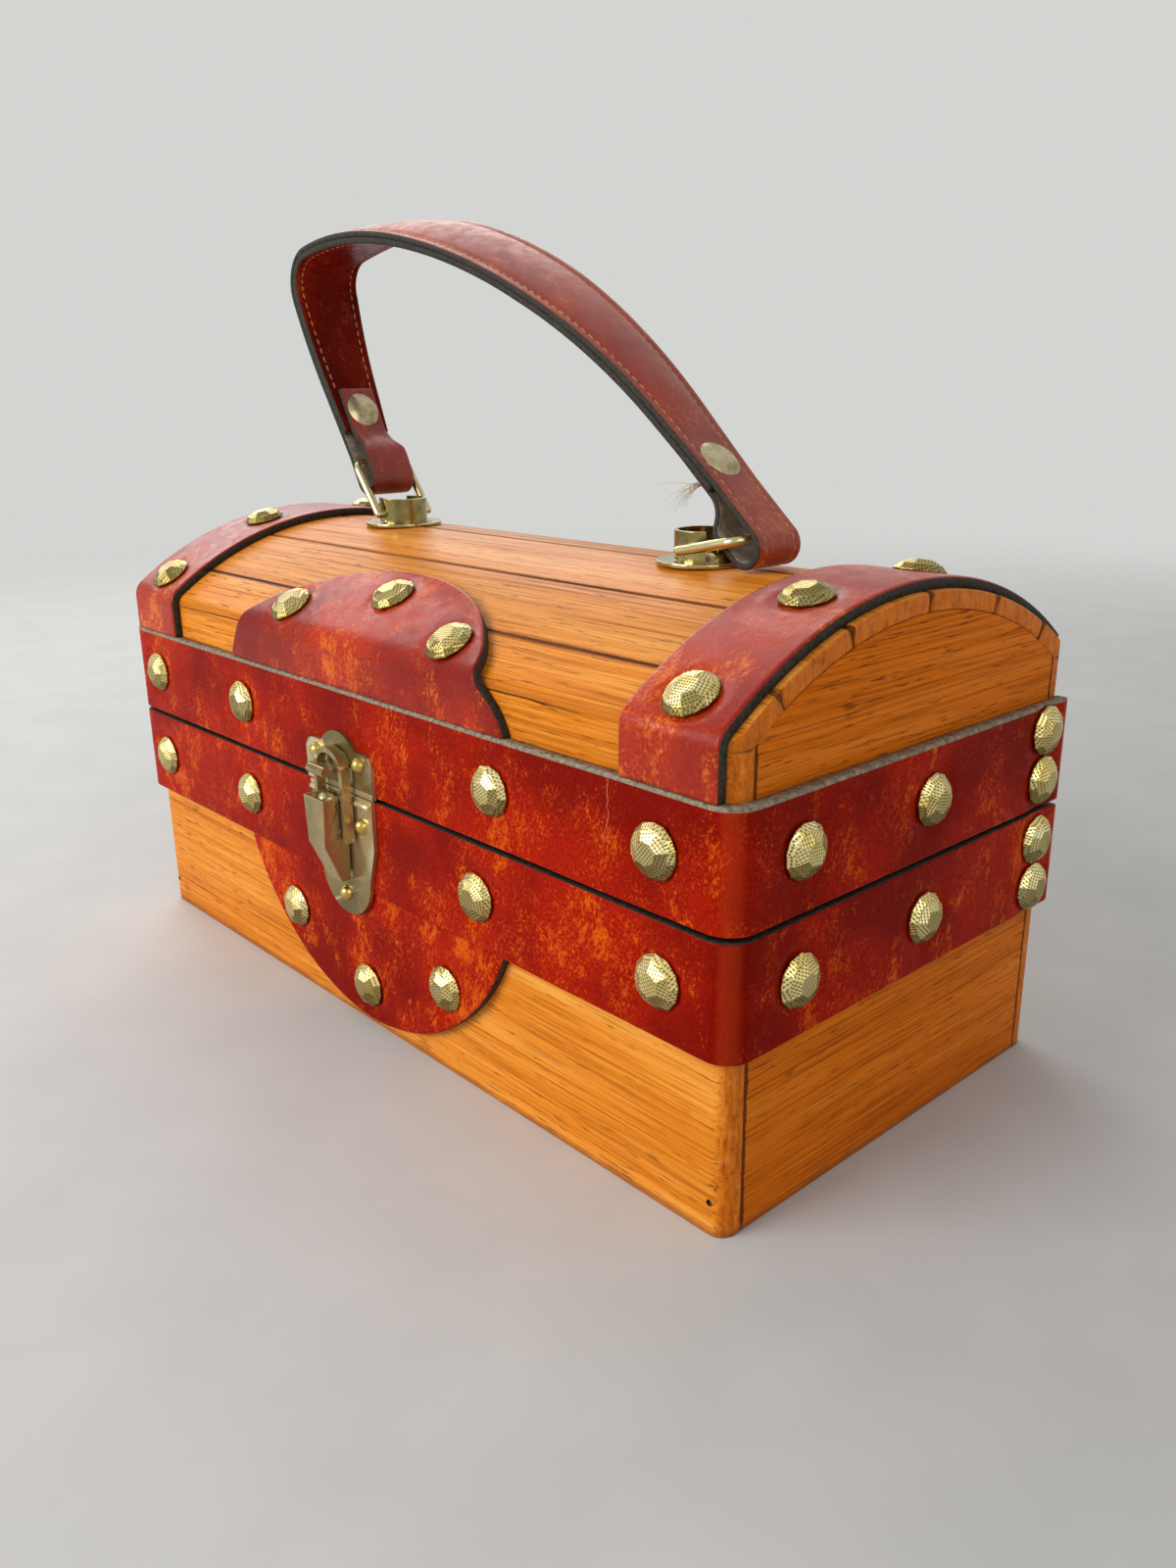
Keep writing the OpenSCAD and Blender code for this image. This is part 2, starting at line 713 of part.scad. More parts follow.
module strike_plate() {
    ear_x = strike_half - strike_ear_r;
    color(bronze) at_latch() {
        upright(plate_t) {
            translate([-strike_half, strike_z]) square([2 * strike_half, strike_nail_z - strike_z]);
            translate([-ear_x, strike_z]) square([2 * ear_x, strike_nail_z + strike_ear_r - strike_z]);
            for (s = sides) translate([s * ear_x, strike_nail_z]) circle(strike_ear_r);
            intersection() {
                translate([0, strike_nail_z - hump_drop]) circle(hump_r);
                translate([-hump_r, strike_z]) square(2 * hump_r);
            }
        }
        translate([-hook_half, 0, hook_z]) cube([2 * hook_half, hook_reach, hook_t]);
        translate([0, hook_reach, hook_z + hook_roll_rise]) rod_x(hook_roll_r, 2 * hook_half);
    }
}

module strike_pins() { latch_nails([for (s = sides) [s * strike_nail_x, strike_nail_z]]); }

module latch_base_plate() {
    ear_z = lever_pivot[1];
    color(bronze) at_latch() difference() {
        union() {
            upright(plate_t) {
                polygon([
                    [-plate_end_r, plate_low + plate_end_r], [-plate_half, plate_top - plate_straight],
                    [-plate_half, plate_top], [plate_half, plate_top],
                    [plate_half, plate_top - plate_straight], [plate_end_r, plate_low + plate_end_r]
                ]);
                translate([0, plate_low + plate_end_r]) circle(plate_end_r);
            }
            for (s = sides)
                translate([s * (ear_out - ear_t / 2), 0, ear_z]) {
                    translate([0, lever_pivot[0], 0]) rod_x(ear_r, ear_t);
                    translate([-ear_t / 2, 0, -ear_r]) cube([ear_t, lever_pivot[0], 2 * ear_r]);
                }
        }
        translate([0, lever_pivot[0], ear_z]) rod_x(latch_pin_r, lever_w);
    }
}

module latch_base_pins() { latch_nails(plate_nails); }

module latch_lever_pin() {
    color(brass) at_latch()
        translate([0, lever_pivot[0], lever_pivot[1]]) rod_x(latch_pin_r, lever_w);
}

// Tapering block of the lever, inset from its faces
module lever_block(inset) {
    intersection() {
        along_x(lever_w - 2 * inset) polygon([
            [lever_back + lever_lean - inset, lever_top + inset], [lever_front - inset, lever_top + inset],
            [lever_front - inset, lever_knee], [lever_tip_front - inset, lever_tip - inset],
            [lever_back - 2 * inset, lever_tip - inset], [lever_back - 2 * inset, lever_top - lever_lean_h]
        ]);
        upright(2 * lever_front) polygon([
            [-lever_w / 2 + inset, lever_top + 2 * inset + eps], [lever_w / 2 - inset, lever_top + 2 * inset + eps],
            [lever_knee_w / 2 - inset, lever_knee], [lever_tip_w / 2 - inset, lever_tip - inset - eps],
            [-lever_tip_w / 2 + inset, lever_tip - inset - eps], [-lever_knee_w / 2 + inset, lever_knee]
        ]);
    }
}

module latch_lever() {
    color(bronze) at_latch() difference() {
        lever_block(0);
        lever_block(lever_t);
        for (p = [lever_pivot, bail_pivot])
            translate([0, p[0], p[1]]) rod_x(latch_pin_r + pivot_gap, 2 * lever_w);
    }
}

module latch_bail() {
    foot_z = bail_pivot[1] - bail_foot;
    color(bronze) at_latch() difference() {
        translate([0, bail_pivot[0] - bail_d / 2, 0]) upright(bail_d) difference() {
            union() {
                translate([0, bail_arch_z]) circle(bail_out);
                translate([-bail_out, foot_z]) square([2 * bail_out, bail_arch_z - foot_z]);
            }
            translate([0, bail_arch_z]) circle(bail_in);
            translate([-bail_in, foot_z - 1]) square([2 * bail_in, bail_arch_z - foot_z + 1]);
        }
        translate([0, bail_pivot[0], bail_pivot[1]]) rod_x(latch_pin_r, 3 * lever_w);
    }
}

module latch_bail_pin() {
    color(brass) at_latch()
        translate([0, bail_pivot[0], bail_pivot[1]]) rod_x(latch_pin_r, 2 * bail_out);
}

// Handle bracket: flange and a cup that is open towards its end of the box
module bracket(s) {
    color(plated) translate([s * bracket_x, 0, 0]) difference() {
        union() {
            translate([0, 0, ridge_z]) cylinder(h = flange_t, d = flange_d);
            translate([0, 0, ridge_z]) cylinder(h = flange_t + cup_h, d = cup_d);
        }
        translate([0, 0, flange_top]) cylinder(h = cup_h + 1, d = cup_d - 2 * cup_t);
        translate([0, 0, flange_top]) linear_extrude(cup_h + 1) polygon([
            [0, 0], [s * cup_d, -cup_d * tan(cup_mouth_a)], [s * cup_d, cup_d * tan(cup_mouth_a)]
        ]);
        translate([0, 0, pivot_z]) rod_y(wire_r + pivot_gap, 2 * cup_d);
        translate([0, 0, ridge_z - 1]) cylinder(h = flange_t + 2, r = rivet_shank_r);
    }
}

module left_bracket() { bracket(-1); }
module right_bracket() { bracket(1); }

module bracket_rivets() {
    color(brass)
        for (s = sides)
            translate([s * bracket_x, 0, flange_top])
                nail(rivet_head_r, rivet_head_h, rivet_shank_r, rivet_shank_len);
}

// Wire ring upright on its pivot at the origin, bar on top
module ring() {
    bar_half = leg_y - ring_bend_r;
    leg_top = ring_len - ring_bend_r;
    translate([0, 0, ring_len]) rod_y(wire_r, 2 * bar_half);
    for (s = sides) {
        translate([0, s * leg_y, leg_top / 2]) cylinder(h = leg_top, r = wire_r, center = true);
        translate([0, s * bar_half, leg_top]) rotate([90, 0, 90]) rotate(s > 0 ? 0 : 90)
            rotate_extrude(angle = 90) translate([ring_bend_r, 0]) circle(wire_r);
        translate([0, s * leg_y, 0]) sphere(wire_r);
        translate([0, s * (leg_y + stub_in) / 2, 0]) rod_y(wire_r, leg_y - stub_in);
    }
}

module left_ring() { color(plated) translate([-bracket_x, 0, pivot_z]) rotate([0, -left_lean, 0]) ring(); }
module right_ring() { color(plated) translate([bracket_x, 0, pivot_z]) rotate([0, right_lean, 0]) ring(); }

// Strip of leather along a path, between two distances to the right of it
module strip(path, d0, d1, w) {
    translate([0, w / 2, 0]) rotate([90, 0, 0]) linear_extrude(w) polygon(concat(
        [for (p = path) aside(p, d0)],
        [for (i = [len(path) - 1 : -1 : 0]) aside(path[i], d1)]
    ));
}

// Narrows a strip from the grip down to its ends
module tapered() {
    e = handle_end_w / 2;
    g = handle_w / 2;
    intersection() {
        children();
        along_x(2 * box_len) polygon([
            [-e, 0], [e, 0], [e, taper_low], [g, taper_high], [g, taper_top], [-g, taper_top], [-g, taper_high], [-e, taper_low]
        ]);
    }
}

module handle_strap() {
    color(leather) {
        tapered() strip(strap_path, 0, handle_t, handle_w);
        strip(right_fold, 0, handle_t, handle_end_w);
        strip(left_fold, -handle_t, 0, handle_end_w);
    }
}

module handle_lining() {
    color(leather) tapered() strip(lining_path, handle_t, 2 * handle_t, handle_w);
}

// Rivet through the stacked layers at a path point, with a cap on both faces
module handle_rivet(p, side) {
    inner = aside(p, side * stack_t);
    turn = side > 0 ? p[2] : p[2] + 180;
    color(brass) {
        translate([p[0], 0, p[1]]) rotate([0, -turn, 0])
            nail(cap_d / 2, cap_h, cap_shank_r, stack_t + cap_h / 2);
        translate([inner[0], 0, inner[1]]) rotate([0, 180 - turn, 0]) cap(cap_d / 2, cap_h);
    }
}

module handle_rivets() {
    handle_rivet(left_cap, 1);
    handle_rivet(right_cap, -1);
}

base_front_board();
base_back_board();
base_left_end_board();
base_right_end_board();
base_bottom_board();
base_panel_pins();
base_lining();
base_band();
base_tongue();
base_band_studs();
base_tongue_studs();
latch_base_plate();
latch_base_pins();
latch_lever_pin();
left_hinge_base_leaf();
right_hinge_base_leaf();
left_hinge_pin();
right_hinge_pin();
hinge_base_nails();
lid_front_rail();
lid_back_rail();
lid_left_end();
lid_right_end();
stave(1);  // lid_stave_1
stave(2);  // lid_stave_2
stave(3);  // lid_stave_3
stave(4);  // lid_stave_4
stave(5);  // lid_stave_5
stave(6);  // lid_stave_6
lid_lining();
lid_band();
lid_tongue();
lid_left_strap();
lid_right_strap();
lid_band_studs();
lid_tongue_studs();
lid_strap_studs();
strike_plate();
strike_pins();
left_hinge_lid_leaf();
right_hinge_lid_leaf();
hinge_lid_nails();
left_bracket();
right_bracket();
bracket_rivets();
latch_lever();
latch_bail();
latch_bail_pin();
left_ring();
right_ring();
handle_strap();
handle_lining();
handle_rivets();
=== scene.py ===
"""Looks of the domed treasure-chest box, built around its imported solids. Sizes are in millimetres."""
import random
from functools import partial
from math import asin, ceil, copysign, cos, degrees, exp, pi, radians, sin, sqrt

import bmesh
import bpy
import numpy as np
from mathutils import Matrix, Vector


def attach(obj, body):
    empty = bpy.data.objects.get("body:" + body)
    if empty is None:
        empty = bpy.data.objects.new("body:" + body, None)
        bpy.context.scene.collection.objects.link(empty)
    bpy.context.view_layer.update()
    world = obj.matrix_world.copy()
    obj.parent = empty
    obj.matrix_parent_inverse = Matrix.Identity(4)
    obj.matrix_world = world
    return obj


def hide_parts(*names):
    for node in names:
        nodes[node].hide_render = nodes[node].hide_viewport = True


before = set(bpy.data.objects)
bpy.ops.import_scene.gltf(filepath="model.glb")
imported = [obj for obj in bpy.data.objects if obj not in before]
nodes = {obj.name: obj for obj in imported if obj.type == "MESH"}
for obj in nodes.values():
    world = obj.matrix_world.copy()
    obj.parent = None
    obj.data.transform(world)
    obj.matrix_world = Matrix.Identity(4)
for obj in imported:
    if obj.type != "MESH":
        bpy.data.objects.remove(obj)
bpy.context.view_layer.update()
scene = bpy.context.scene
MM = 0.001

# Sizes that the solids have too
HALF_LEN, HALF_DEP, CORNER_R = 130.0, 62.0, 4.0
BASE_H, PART_Z = 70.5, 70.65
BOARD_T, BOTTOM_T, FELT_T, FELT_DROP = 5.5, 4.0, 1.0, 3.0
RIDGE_Z, DOME_RISE, SHOULDER_R, STAVE_T = 131.0, 21.0, 3.4, 4.5
DOME_R = (HALF_DEP ** 2 + DOME_RISE ** 2) / (2 * DOME_RISE)
DOME_Z = RIDGE_Z - DOME_R
SHOULDER_Y = HALF_DEP - SHOULDER_R
SHOULDER_Z = DOME_Z + sqrt((DOME_R - SHOULDER_R) ** 2 - SHOULDER_Y ** 2)
SHOULDER_A = asin(SHOULDER_Y / (DOME_R - SHOULDER_R))
BAND_T, BAND_H, TONGUE_T = 3.0, 26.3, 2.6
BASE_BAND_Z, LID_BAND_Z = 43.25, 71.75
BASE_STUD_Z, LID_STUD_Z = BASE_BAND_Z + BAND_H / 2, LID_BAND_Z + BAND_H / 2
BAND_BACK = HALF_DEP - 2.0
BUTT_GAP = 0.2
LOWER_TONGUE_R, UPPER_TONGUE_R = 67.5, 69.5
STRAP_X, STRAP_W, STRAP_BACK_A = 114.5, 27.0, radians(37)
STUD_D, STUD_H = 12.7, 3.0
BASE_FRONT_STUDS, LID_FRONT_STUDS = (-115.5, -59, 52, 113), (-115.5, -59, 59, 112)
END_STUDS, END_PAIR_Y, END_PAIR = (-43.5, 2), 51, 12.8
STRAP_STUDS = (-33.5, -12.5, 10.5, 33)
TONGUE_STUD_X = 37
LOWER_SIDE, LOWER_MID = 44.5, 57
UPPER_SIDE_A, UPPER_MID_A = -34, -28
GRIP_W, END_W, HANDLE_T = 23.0, 15.5, 1.7
TAPER_LOW, TAPER_HIGH = 151.374, 199.374
LOOP_R, LOOP_STRAIGHT, TAIL_LEN = 5.1, 7.5, 14.5
HANDLE_START, HANDLE_HEADING = (-78.504, 142.704), 117.0
HANDLE_ARCS = ((33.3, 0), (30.4, -11), (18.6, -93.5), (69.9, -28), (96.6, -26), (40.4, 0))
FOLD_DEG = 60.0

# Sizes of the looks alone
SEAT, STUD_SINK, BAND_PAST = 0.03, 0.2, 0.5
BAND_EDGE_R, BAND_RIPPLE, BAND_SWAY = 0.5, 0.12, 0.108
STRAP_EDGE_R, STRAP_RIPPLE, STRAP_SWAY = 0.7, 0.1, 0.25
LIFT_REACH = 14
NOSE_Z = 108.9
INNER_X, INNER_Y = HALF_LEN - BOARD_T, HALF_DEP - BOARD_T
CRACK_X, CRACK_FOOT, CRACK_FULL = 100.0, 79.0, 86.0


def srgb(code):
    """Linear colour of a six-digit sRGB code."""
    parts = [int(code[i:i + 2], 16) / 255 for i in (0, 2, 4)]
    return tuple(c / 12.92 if c < 0.04045 else ((c + 0.055) / 1.055) ** 2.4 for c in parts) + (1.0,)


SOCKETS = {
    "metallic": "Metallic", "roughness": "Roughness", "specular": "Specular IOR Level",
    "sheen": "Sheen Weight", "sheen_roughness": "Sheen Roughness", "sheen_tint": "Sheen Tint",
}


class Value:
    """An output of a look's node, for sums as with plain numbers."""

    def __init__(self, look, socket):
        self.look, self.socket = look, socket

    def __add__(self, other):
        return self.look.math("ADD", self, other)

    def __sub__(self, other):
        return self.look.math("SUBTRACT", self, other)

    def __mul__(self, other):
        return self.look.math("MULTIPLY", self, other)

    def __abs__(self):
        return self.look.math("ABSOLUTE", self)

    def step(self, low, high, out_low=0.0, out_high=1.0):
        """A smooth step of the value from low to high."""
        values = {"Value": self, "From Min": low, "From Max": high, "To Min": out_low, "To Max": out_high}
        return self.look.value("MapRange", values, interpolation_type="SMOOTHSTEP")

    def step_mm(self, low, high, *outs):
        """A smooth step of a length between two places in millimetres."""
        return self.step(low * MM, high * MM, *outs)


class Look:
    """A material or world under construction, with short calls for its nodes. Colours are sRGB codes."""

    def __init__(self, name, offset=(0, 0, 0), kind="materials", **constants):
        self.owner = getattr(bpy.data, kind).new(name)
        self.owner.use_nodes = True
        self.tree, self.offset = self.owner.node_tree, offset
        self.bsdf = self.tree.nodes.get("Principled BSDF")
        self.fill(self.bsdf, {SOCKETS[key]: value for key, value in constants.items()})

    def fill(self, made, inputs):
        """Links values to a node's inputs, or sets them to numbers or colours."""
        for key, value in inputs.items():
            if isinstance(value, Value):
                self.tree.links.new(value.socket, made.inputs[key])
            else:
                made.inputs[key].default_value = srgb(value) if isinstance(value, str) else value

    def node(self, kind, inputs=None, **props):
        """A new shader node."""
        made = self.tree.nodes.new("ShaderNode" + kind)
        for key, value in props.items():
            setattr(made, key, value)
        self.fill(made, inputs or {})
        return made

    def value(self, kind, inputs=None, output=0, **props):
        """An output of a new shader node."""
        return Value(self, self.node(kind, inputs, **props).outputs[output])

    def axes(self, source="Object"):
        """Coordinates of the point, or of its normal, one by one."""
        split = self.node("SeparateXYZ", {0: self.value("TexCoord", output=source)})
        return [Value(self, socket) for socket in split.outputs]

    def noise(self, scale, detail=3.0, rough=0.5, distort=0.0, source=None, offset=None):
        """Noise in the object's coordinates or in another vector, scaled alike or axis by axis."""
        if source is None:
            source = self.value("TexCoord", output="Object")
        scale = (scale,) * 3 if np.isscalar(scale) else scale
        offset = self.offset if offset is None else offset
        vector = self.value("Mapping", {"Vector": source, "Scale": scale, "Location": offset})
        values = {"Vector": vector, "Scale": 1.0, "Detail": detail, "Roughness": rough, "Distortion": distort}
        return self.value("TexNoise", values, "Fac")

    def math(self, operation, a, b=0.0):
        """A sum, by the name of its operation."""
        return self.value("Math", {0: a, 1: b}, operation=operation)

    def ramp(self, value, stops):
        """Colours along a value."""
        made = self.node("ValToRGB", {0: value})
        ends = made.color_ramp.elements
        while len(ends) < len(stops):
            ends.new(0.5)
        for end, (place, colour) in zip(ends, stops):
            end.position = place
            end.color = srgb(colour)
        return Value(self, made.outputs[0])

    def mix(self, factor, a, b):
        """Colour between two colours."""
        return self.value("Mix", {0: factor, 6: a, 7: b}, 2, data_type="RGBA")

    def tint(self, colour, new, amount, value, low, high):
        """Turns a colour to a new one by an amount, where a value steps from low to high."""
        return self.mix(value.step(low, high, 0.0, amount), colour, new)

    def bump(self, height, strength, distance):
        """Normal of a relief."""
        values = {"Height": height, "Strength": strength, "Distance": distance * MM}
        return self.value("Bump", values)

    def finish(self, colour=None, roughness=None, normal=None):
        """The material, with its sockets linked."""
        sockets = {"Base Color": colour, "Roughness": roughness, "Normal": normal}
        self.fill(self.bsdf, {key: value for key, value in sockets.items() if value is not None})
        return self.owner


# Wood, its wear and its painted shade: each mark takes the look, the colour so far and the wood's cloudy
# figure
def cut_ends(look, colour, cloud):
    """End grain on the faces that look along the box."""
    cut = abs(look.axes("Normal")[0]).step(0.3, 0.75)
    hewn = look.noise((900, 900, 160), detail=4, rough=0.7)
    grain = look.ramp(hewn, ((0.32, "963a04"), (0.5, "d0660c"), (0.68, "ea821c")))
    chips = look.noise(260, detail=5, rough=0.75)
    grain = look.tint(grain, "e6a05a", 0.6, chips, 0.54, 0.66)
    grain = look.tint(grain, "6a2c08", 0.7, chips, 0.44, 0.34)
    return look.mix(cut * 0.85, colour, grain)


def rubbed_ends(look, colour, cloud, worn):
    """Paler, worn wood near both ends of the box."""
    rub = look.noise(420, detail=4, rough=0.7)
    near = abs(look.axes()[0]).step_mm(HALF_LEN - 1.6, HALF_LEN - 0.2)
    near = near * rub.step(0.36, 0.6, 0.25, 1.0)
    return look.mix(near * worn, colour, "da7c2e")


def stave_joints(look, colour, cloud, joints):
    """Dark, ragged joints at two angles of the dome, wider at the ends of the box."""
    x, y, z = look.axes()
    up = z - DOME_Z * MM
    angle = look.math("ARCTAN2", y, up)
    gap = look.math("MINIMUM", *[abs(angle - radians(a)) for a in joints])
    ragged = look.noise(300, detail=4, rough=0.7)
    gap = gap - ragged * 0.006
    colour = look.tint(colour, "a85a1c", 0.55, gap, 0.012, 0.004)
    height = look.math("SQRT", y * y + up * up)
    shallow = height.step_mm(DOME_R - 3, DOME_R)
    end = abs(x).step_mm(HALF_LEN - 3, HALF_LEN, 0.35, 1.0)
    gap = gap - shallow * end * 0.008
    filled = gap.step(0.0016, -0.0006) * cloud.step(0.35, 0.62, 0.4, 0.92)
    return look.mix(filled, colour, "3e1c0a")


def nose_crack(look, colour, cloud):
    """A dull strip with a broken dark line where an outer stave meets its rail."""
    wander = look.noise(30, detail=5, rough=0.7)
    level = look.axes()[2] + wander * (1.6 * MM)
    strip = level.step_mm(NOSE_Z - 0.1, NOSE_Z + 0.5)
    strip = strip * level.step_mm(NOSE_Z + 2.9, NOSE_Z + 1.5) * 0.55
    colour = look.mix(strip, colour, "b4641c")
    crack = abs(level - NOSE_Z * MM).step_mm(0.4, 0.12)
    crack = crack * cloud.step(0.4, 0.55, 0.15, 0.85)
    return look.mix(crack, colour, "4a220a")


def end_seam(look, colour, cloud):
    """Dark, ragged line where an end board meets the front and the back."""
    ragged = look.noise(260, detail=4, rough=0.7) - 0.5
    place = abs(look.axes()[1]) + ragged * (1.6 * MM)
    near = place.step_mm(INNER_Y - 1.2, INNER_Y - 0.9)
    return look.mix(near * 0.85, colour, "4a2008")


def parting_shade(look, colour, cloud):
    """Painted shade: dark wood along the parting line, on upright faces."""
    gap = abs(look.axes()[2] - PART_Z * MM)
    upright = abs(look.axes("Normal")[2]).step(0.6, 0.3)
    return look.mix(gap.step_mm(1.8, 1.0) * upright * 0.9, colour, "2a1408")


def shaded_foot(look, colour, cloud):
    """Painted shade: darker along the bottom edge, with a ragged upper limit."""
    foot_wander = look.noise(60, detail=5, rough=0.7)
    low = (look.axes()[2] + foot_wander * (4 * MM)).step_mm(4.6, 2.4)
    return look.mix(low * 0.75, colour, "8e4f28")


def wood(name, axis, seed, tones, marks, gloss=0.34, shine=0.07, streak=0.65):
    """Varnished fine-pored wood with its grain along one axis, and the marks passed in: worn places, and
    painted shade.
    """
    light, mid, dark, deep = tones
    look = Look(name, (seed * 1.7, seed * 2.3, seed * 3.1), specular=shine)

    def grain(along, across, **settings):
        """Noise drawn out along the grain."""
        scale = [across] * 3
        scale[axis] = along
        return look.noise(scale, **settings)

    figure = grain(5, 120, rough=0.55, distort=0.5)
    cloud = grain(10, 60)
    line = grain(15, 1300, rough=0.6)
    fibre = grain(38, 2100, detail=2, rough=0.6)
    pore = grain(125, 1600, detail=2)
    colour = look.ramp(figure, ((0.3, dark), (0.5, mid), (0.7, light)))
    colour = look.tint(colour, mid, 0.5, cloud, 0.4, 0.65)
    colour = look.tint(colour, light, 0.5, line, 0.47, 0.33)
    colour = look.tint(colour, deep, 0.5, fibre, 0.5, 0.66)
    colour = look.tint(colour, light, 0.4, fibre, 0.46, 0.3)
    strong = line - (figure - 0.5) * 0.3
    colour = look.tint(colour, deep, streak, strong, 0.55, 0.68)
    pores = pore.step(0.6, 0.69) * cloud.step(0.35, 0.6, 0.4, 1.0)
    colour = look.mix(pores * 0.7, colour, "5c2a0c")
    for mark in marks:
        colour = mark(look, colour, cloud)
    rough = line.step(0.3, 0.7, gloss - 0.05, gloss + 0.12)
    relief = line * 0.35 - pores
    return look.finish(colour, rough, look.bump(relief, 0.35, 0.12))


# Leather, metal and felt
def leather(name, seed, deep, red, fleck, amount, streak=(900, 900, 260), gloss=0.26, shine=0.03, sheen=0.04,
            lean=0.0, rub_and_highlight=0.0, crack=None):
    """Marbled oxblood leather with a fine grain and patches of orange flecks, which lean as they rise; where
    asked, a painted highlight on its corners.
    """
    offset = (seed * 2.1, seed * 1.3, seed * 0.7)
    look = Look(name, offset, specular=shine, sheen=sheen, sheen_roughness=0.3, sheen_tint="e8b0a0")
    cloud = look.noise(24, rough=0.55)
    blot = look.noise((110, 110, 70), detail=4, rough=0.6, distort=0.5)
    x, y, z = look.axes()
    shift = z * lean
    slant = look.value("CombineXYZ", {0: x - shift, 1: y - shift, 2: z})
    fine = look.noise(streak, detail=4, rough=0.6, distort=0.3, source=slant)
    mottle = look.noise((1500, 1500, 1300), rough=0.7)
    colour = look.mix(cloud.step(0.36, 0.64), deep, red)
    drift = cloud * 0.8 + blot * 1.2
    spread = fine * 0.8 + (drift - 0.9)
    edge = 0.64 - 0.2 * amount
    colour = look.tint(colour, fleck, 0.9, spread, edge - 0.02, edge + 0.24)
    colour = look.tint(colour, deep, 0.75, mottle, 0.5, 0.34)
    patches = spread.step(edge - 0.2, edge + 0.1, 0.1, 1.0)
    colour = look.mix(mottle.step(0.5, 0.66, 0.0, 0.8) * patches, colour, fleck)
    # Painted highlight: lighter red on faces that look out diagonally, which are the rounded corners of the
    # bands
    if rub_and_highlight:
        facing = look.axes("Normal")
        corner = abs(facing[0] * facing[1])
        colour = look.tint(colour, "c0401a", rub_and_highlight, corner, 0.3, 0.5)
    if crack is not None:
        wave = look.noise((0, 0, 420), detail=4, rough=0.6, offset=(0, 0, 0))
        place = x - crack * MM + wave * (3 * MM)
        hair = abs(place).step_mm(0.2, 0.05)
        hair = hair * z.step_mm(CRACK_FOOT, CRACK_FULL)
        front = y.step_mm(4 - HALF_DEP, 1 - HALF_DEP)
        colour = look.mix(hair * front * 0.5, colour, "d98a62")
    pebble = look.noise(1500, rough=0.6)
    crease = look.noise(260, detail=4, rough=0.6)
    rough = crease.step(0.3, 0.7, gloss - 0.06, gloss + 0.12)
    relief = pebble * 0.5 + crease
    return look.finish(colour, rough, look.bump(relief, 0.3, 0.12))


def cut_edge(name, dark, light, grain):
    """Cut or painted edge of leather, or thread: fibrous."""
    look = Look(name, specular=0.3)
    fibre = look.noise(grain, detail=5, rough=0.75)
    colour = look.ramp(fibre, ((0.35, dark), (0.68, light)))
    return look.finish(colour, fibre.step(0.3, 0.7, 0.6, 0.85), look.bump(fibre, 0.5, 0.25))


def metal(name, tint, shade, rough, grain=700, sides=None, patina=0.5, metallic=1.0, rub_and_highlight=None):
    """Worn metal: a tint with a darker patina, painted light as another, lighter hue on faces that look
    sideways, and paler worn edges that are partly painted highlight.
    """
    look = Look(name, metallic=metallic)
    stain = look.noise(grain * 0.2, detail=5, rough=0.65)
    speck = look.noise(grain, detail=4, rough=0.7)
    colour = look.mix(stain.step(0.36, 0.68, 0.0, patina), tint, shade)
    # Painted light: faces that look sideways take the lighter side hue
    if sides:
        side = abs(look.axes("Normal")[0]).step(0.55, 0.95)
        colour = look.mix(side * 0.75, colour, sides)
    colour = look.tint(colour, shade, 0.5, speck, 0.6, 0.74)
    # Paler sharp edges: worn metal, and partly a painted highlight
    if rub_and_highlight:
        sharp = look.value("NewGeometry", output="Pointiness")
        colour = look.tint(colour, rub_and_highlight, 0.8, sharp, 0.52, 0.6)
    shine = stain.step(0.3, 0.7, rough - 0.06, rough + 0.12)
    return look.finish(colour, shine, look.bump(speck, 0.12, 0.05))


def hammered(name):
    """Hammered stud brass: each facet carries its own fine hatching, laid out in the mesh's UVs."""
    look = Look(name, metallic=1.0)
    hatch = {"Vector": look.value("TexCoord", output="UV"), "Distortion": 0.5, "Detail": 1.0}
    lines = look.value("TexWave", {**hatch, "Scale": 0.44}, "Fac", bands_direction="X")
    cross = look.value("TexWave", {**hatch, "Scale": 0.42}, "Fac", bands_direction="Y")
    tone_and_light = look.value("Attribute", output="Fac", attribute_name="tone_and_light")
    stain = look.noise(160, detail=5, rough=0.65)
    weave = lines * 0.62 + cross * 0.38
    colour = look.ramp(stain, ((0.3, "e4c872"), (0.5, "f6e094"), (0.7, "fff4c4")))
    # Darker olive on facets with a low stored value: partly random, partly painted shade on facets that look
    # down
    colour = look.mix(tone_and_light.step(0.0, 1.0, 0.95, 0.0), colour, "66541e")
    colour = look.tint(colour, "4c3e16", 0.85, weave, 0.52, 0.2)
    rough = weave.step(0.1, 0.8, 0.5, 0.28)
    return look.finish(colour, rough, look.bump(weave, 0.35, 0.1))


def felt(name):
    """Dark red felt with a soft nap."""
    look = Look(name, sheen=0.35, sheen_roughness=0.5, specular=0.15)
    nap = look.noise(900, detail=6, rough=0.8)
    colour = look.ramp(nap, ((0.3, "3a0f10"), (0.7, "74262a")))
    colour = look.mix(look.noise(40).step(0.4, 0.7, 0.0, 0.3), colour, "4a1416")
    return look.finish(colour, nap.step(0.3, 0.7, 0.85, 0.98), look.bump(nap, 0.7, 0.4))


# Materials
HONEY = ("f4a848", "e68822", "d47818", "a85a14")
AMBER = ("eea24a", "e08a2c", "c8721c", "a05416")
END = ("e8842a", "da700e", "cc640a", "863e0a")
PLAIN = ("c9a06c", "b48550", "8b6236", "6e4a28")
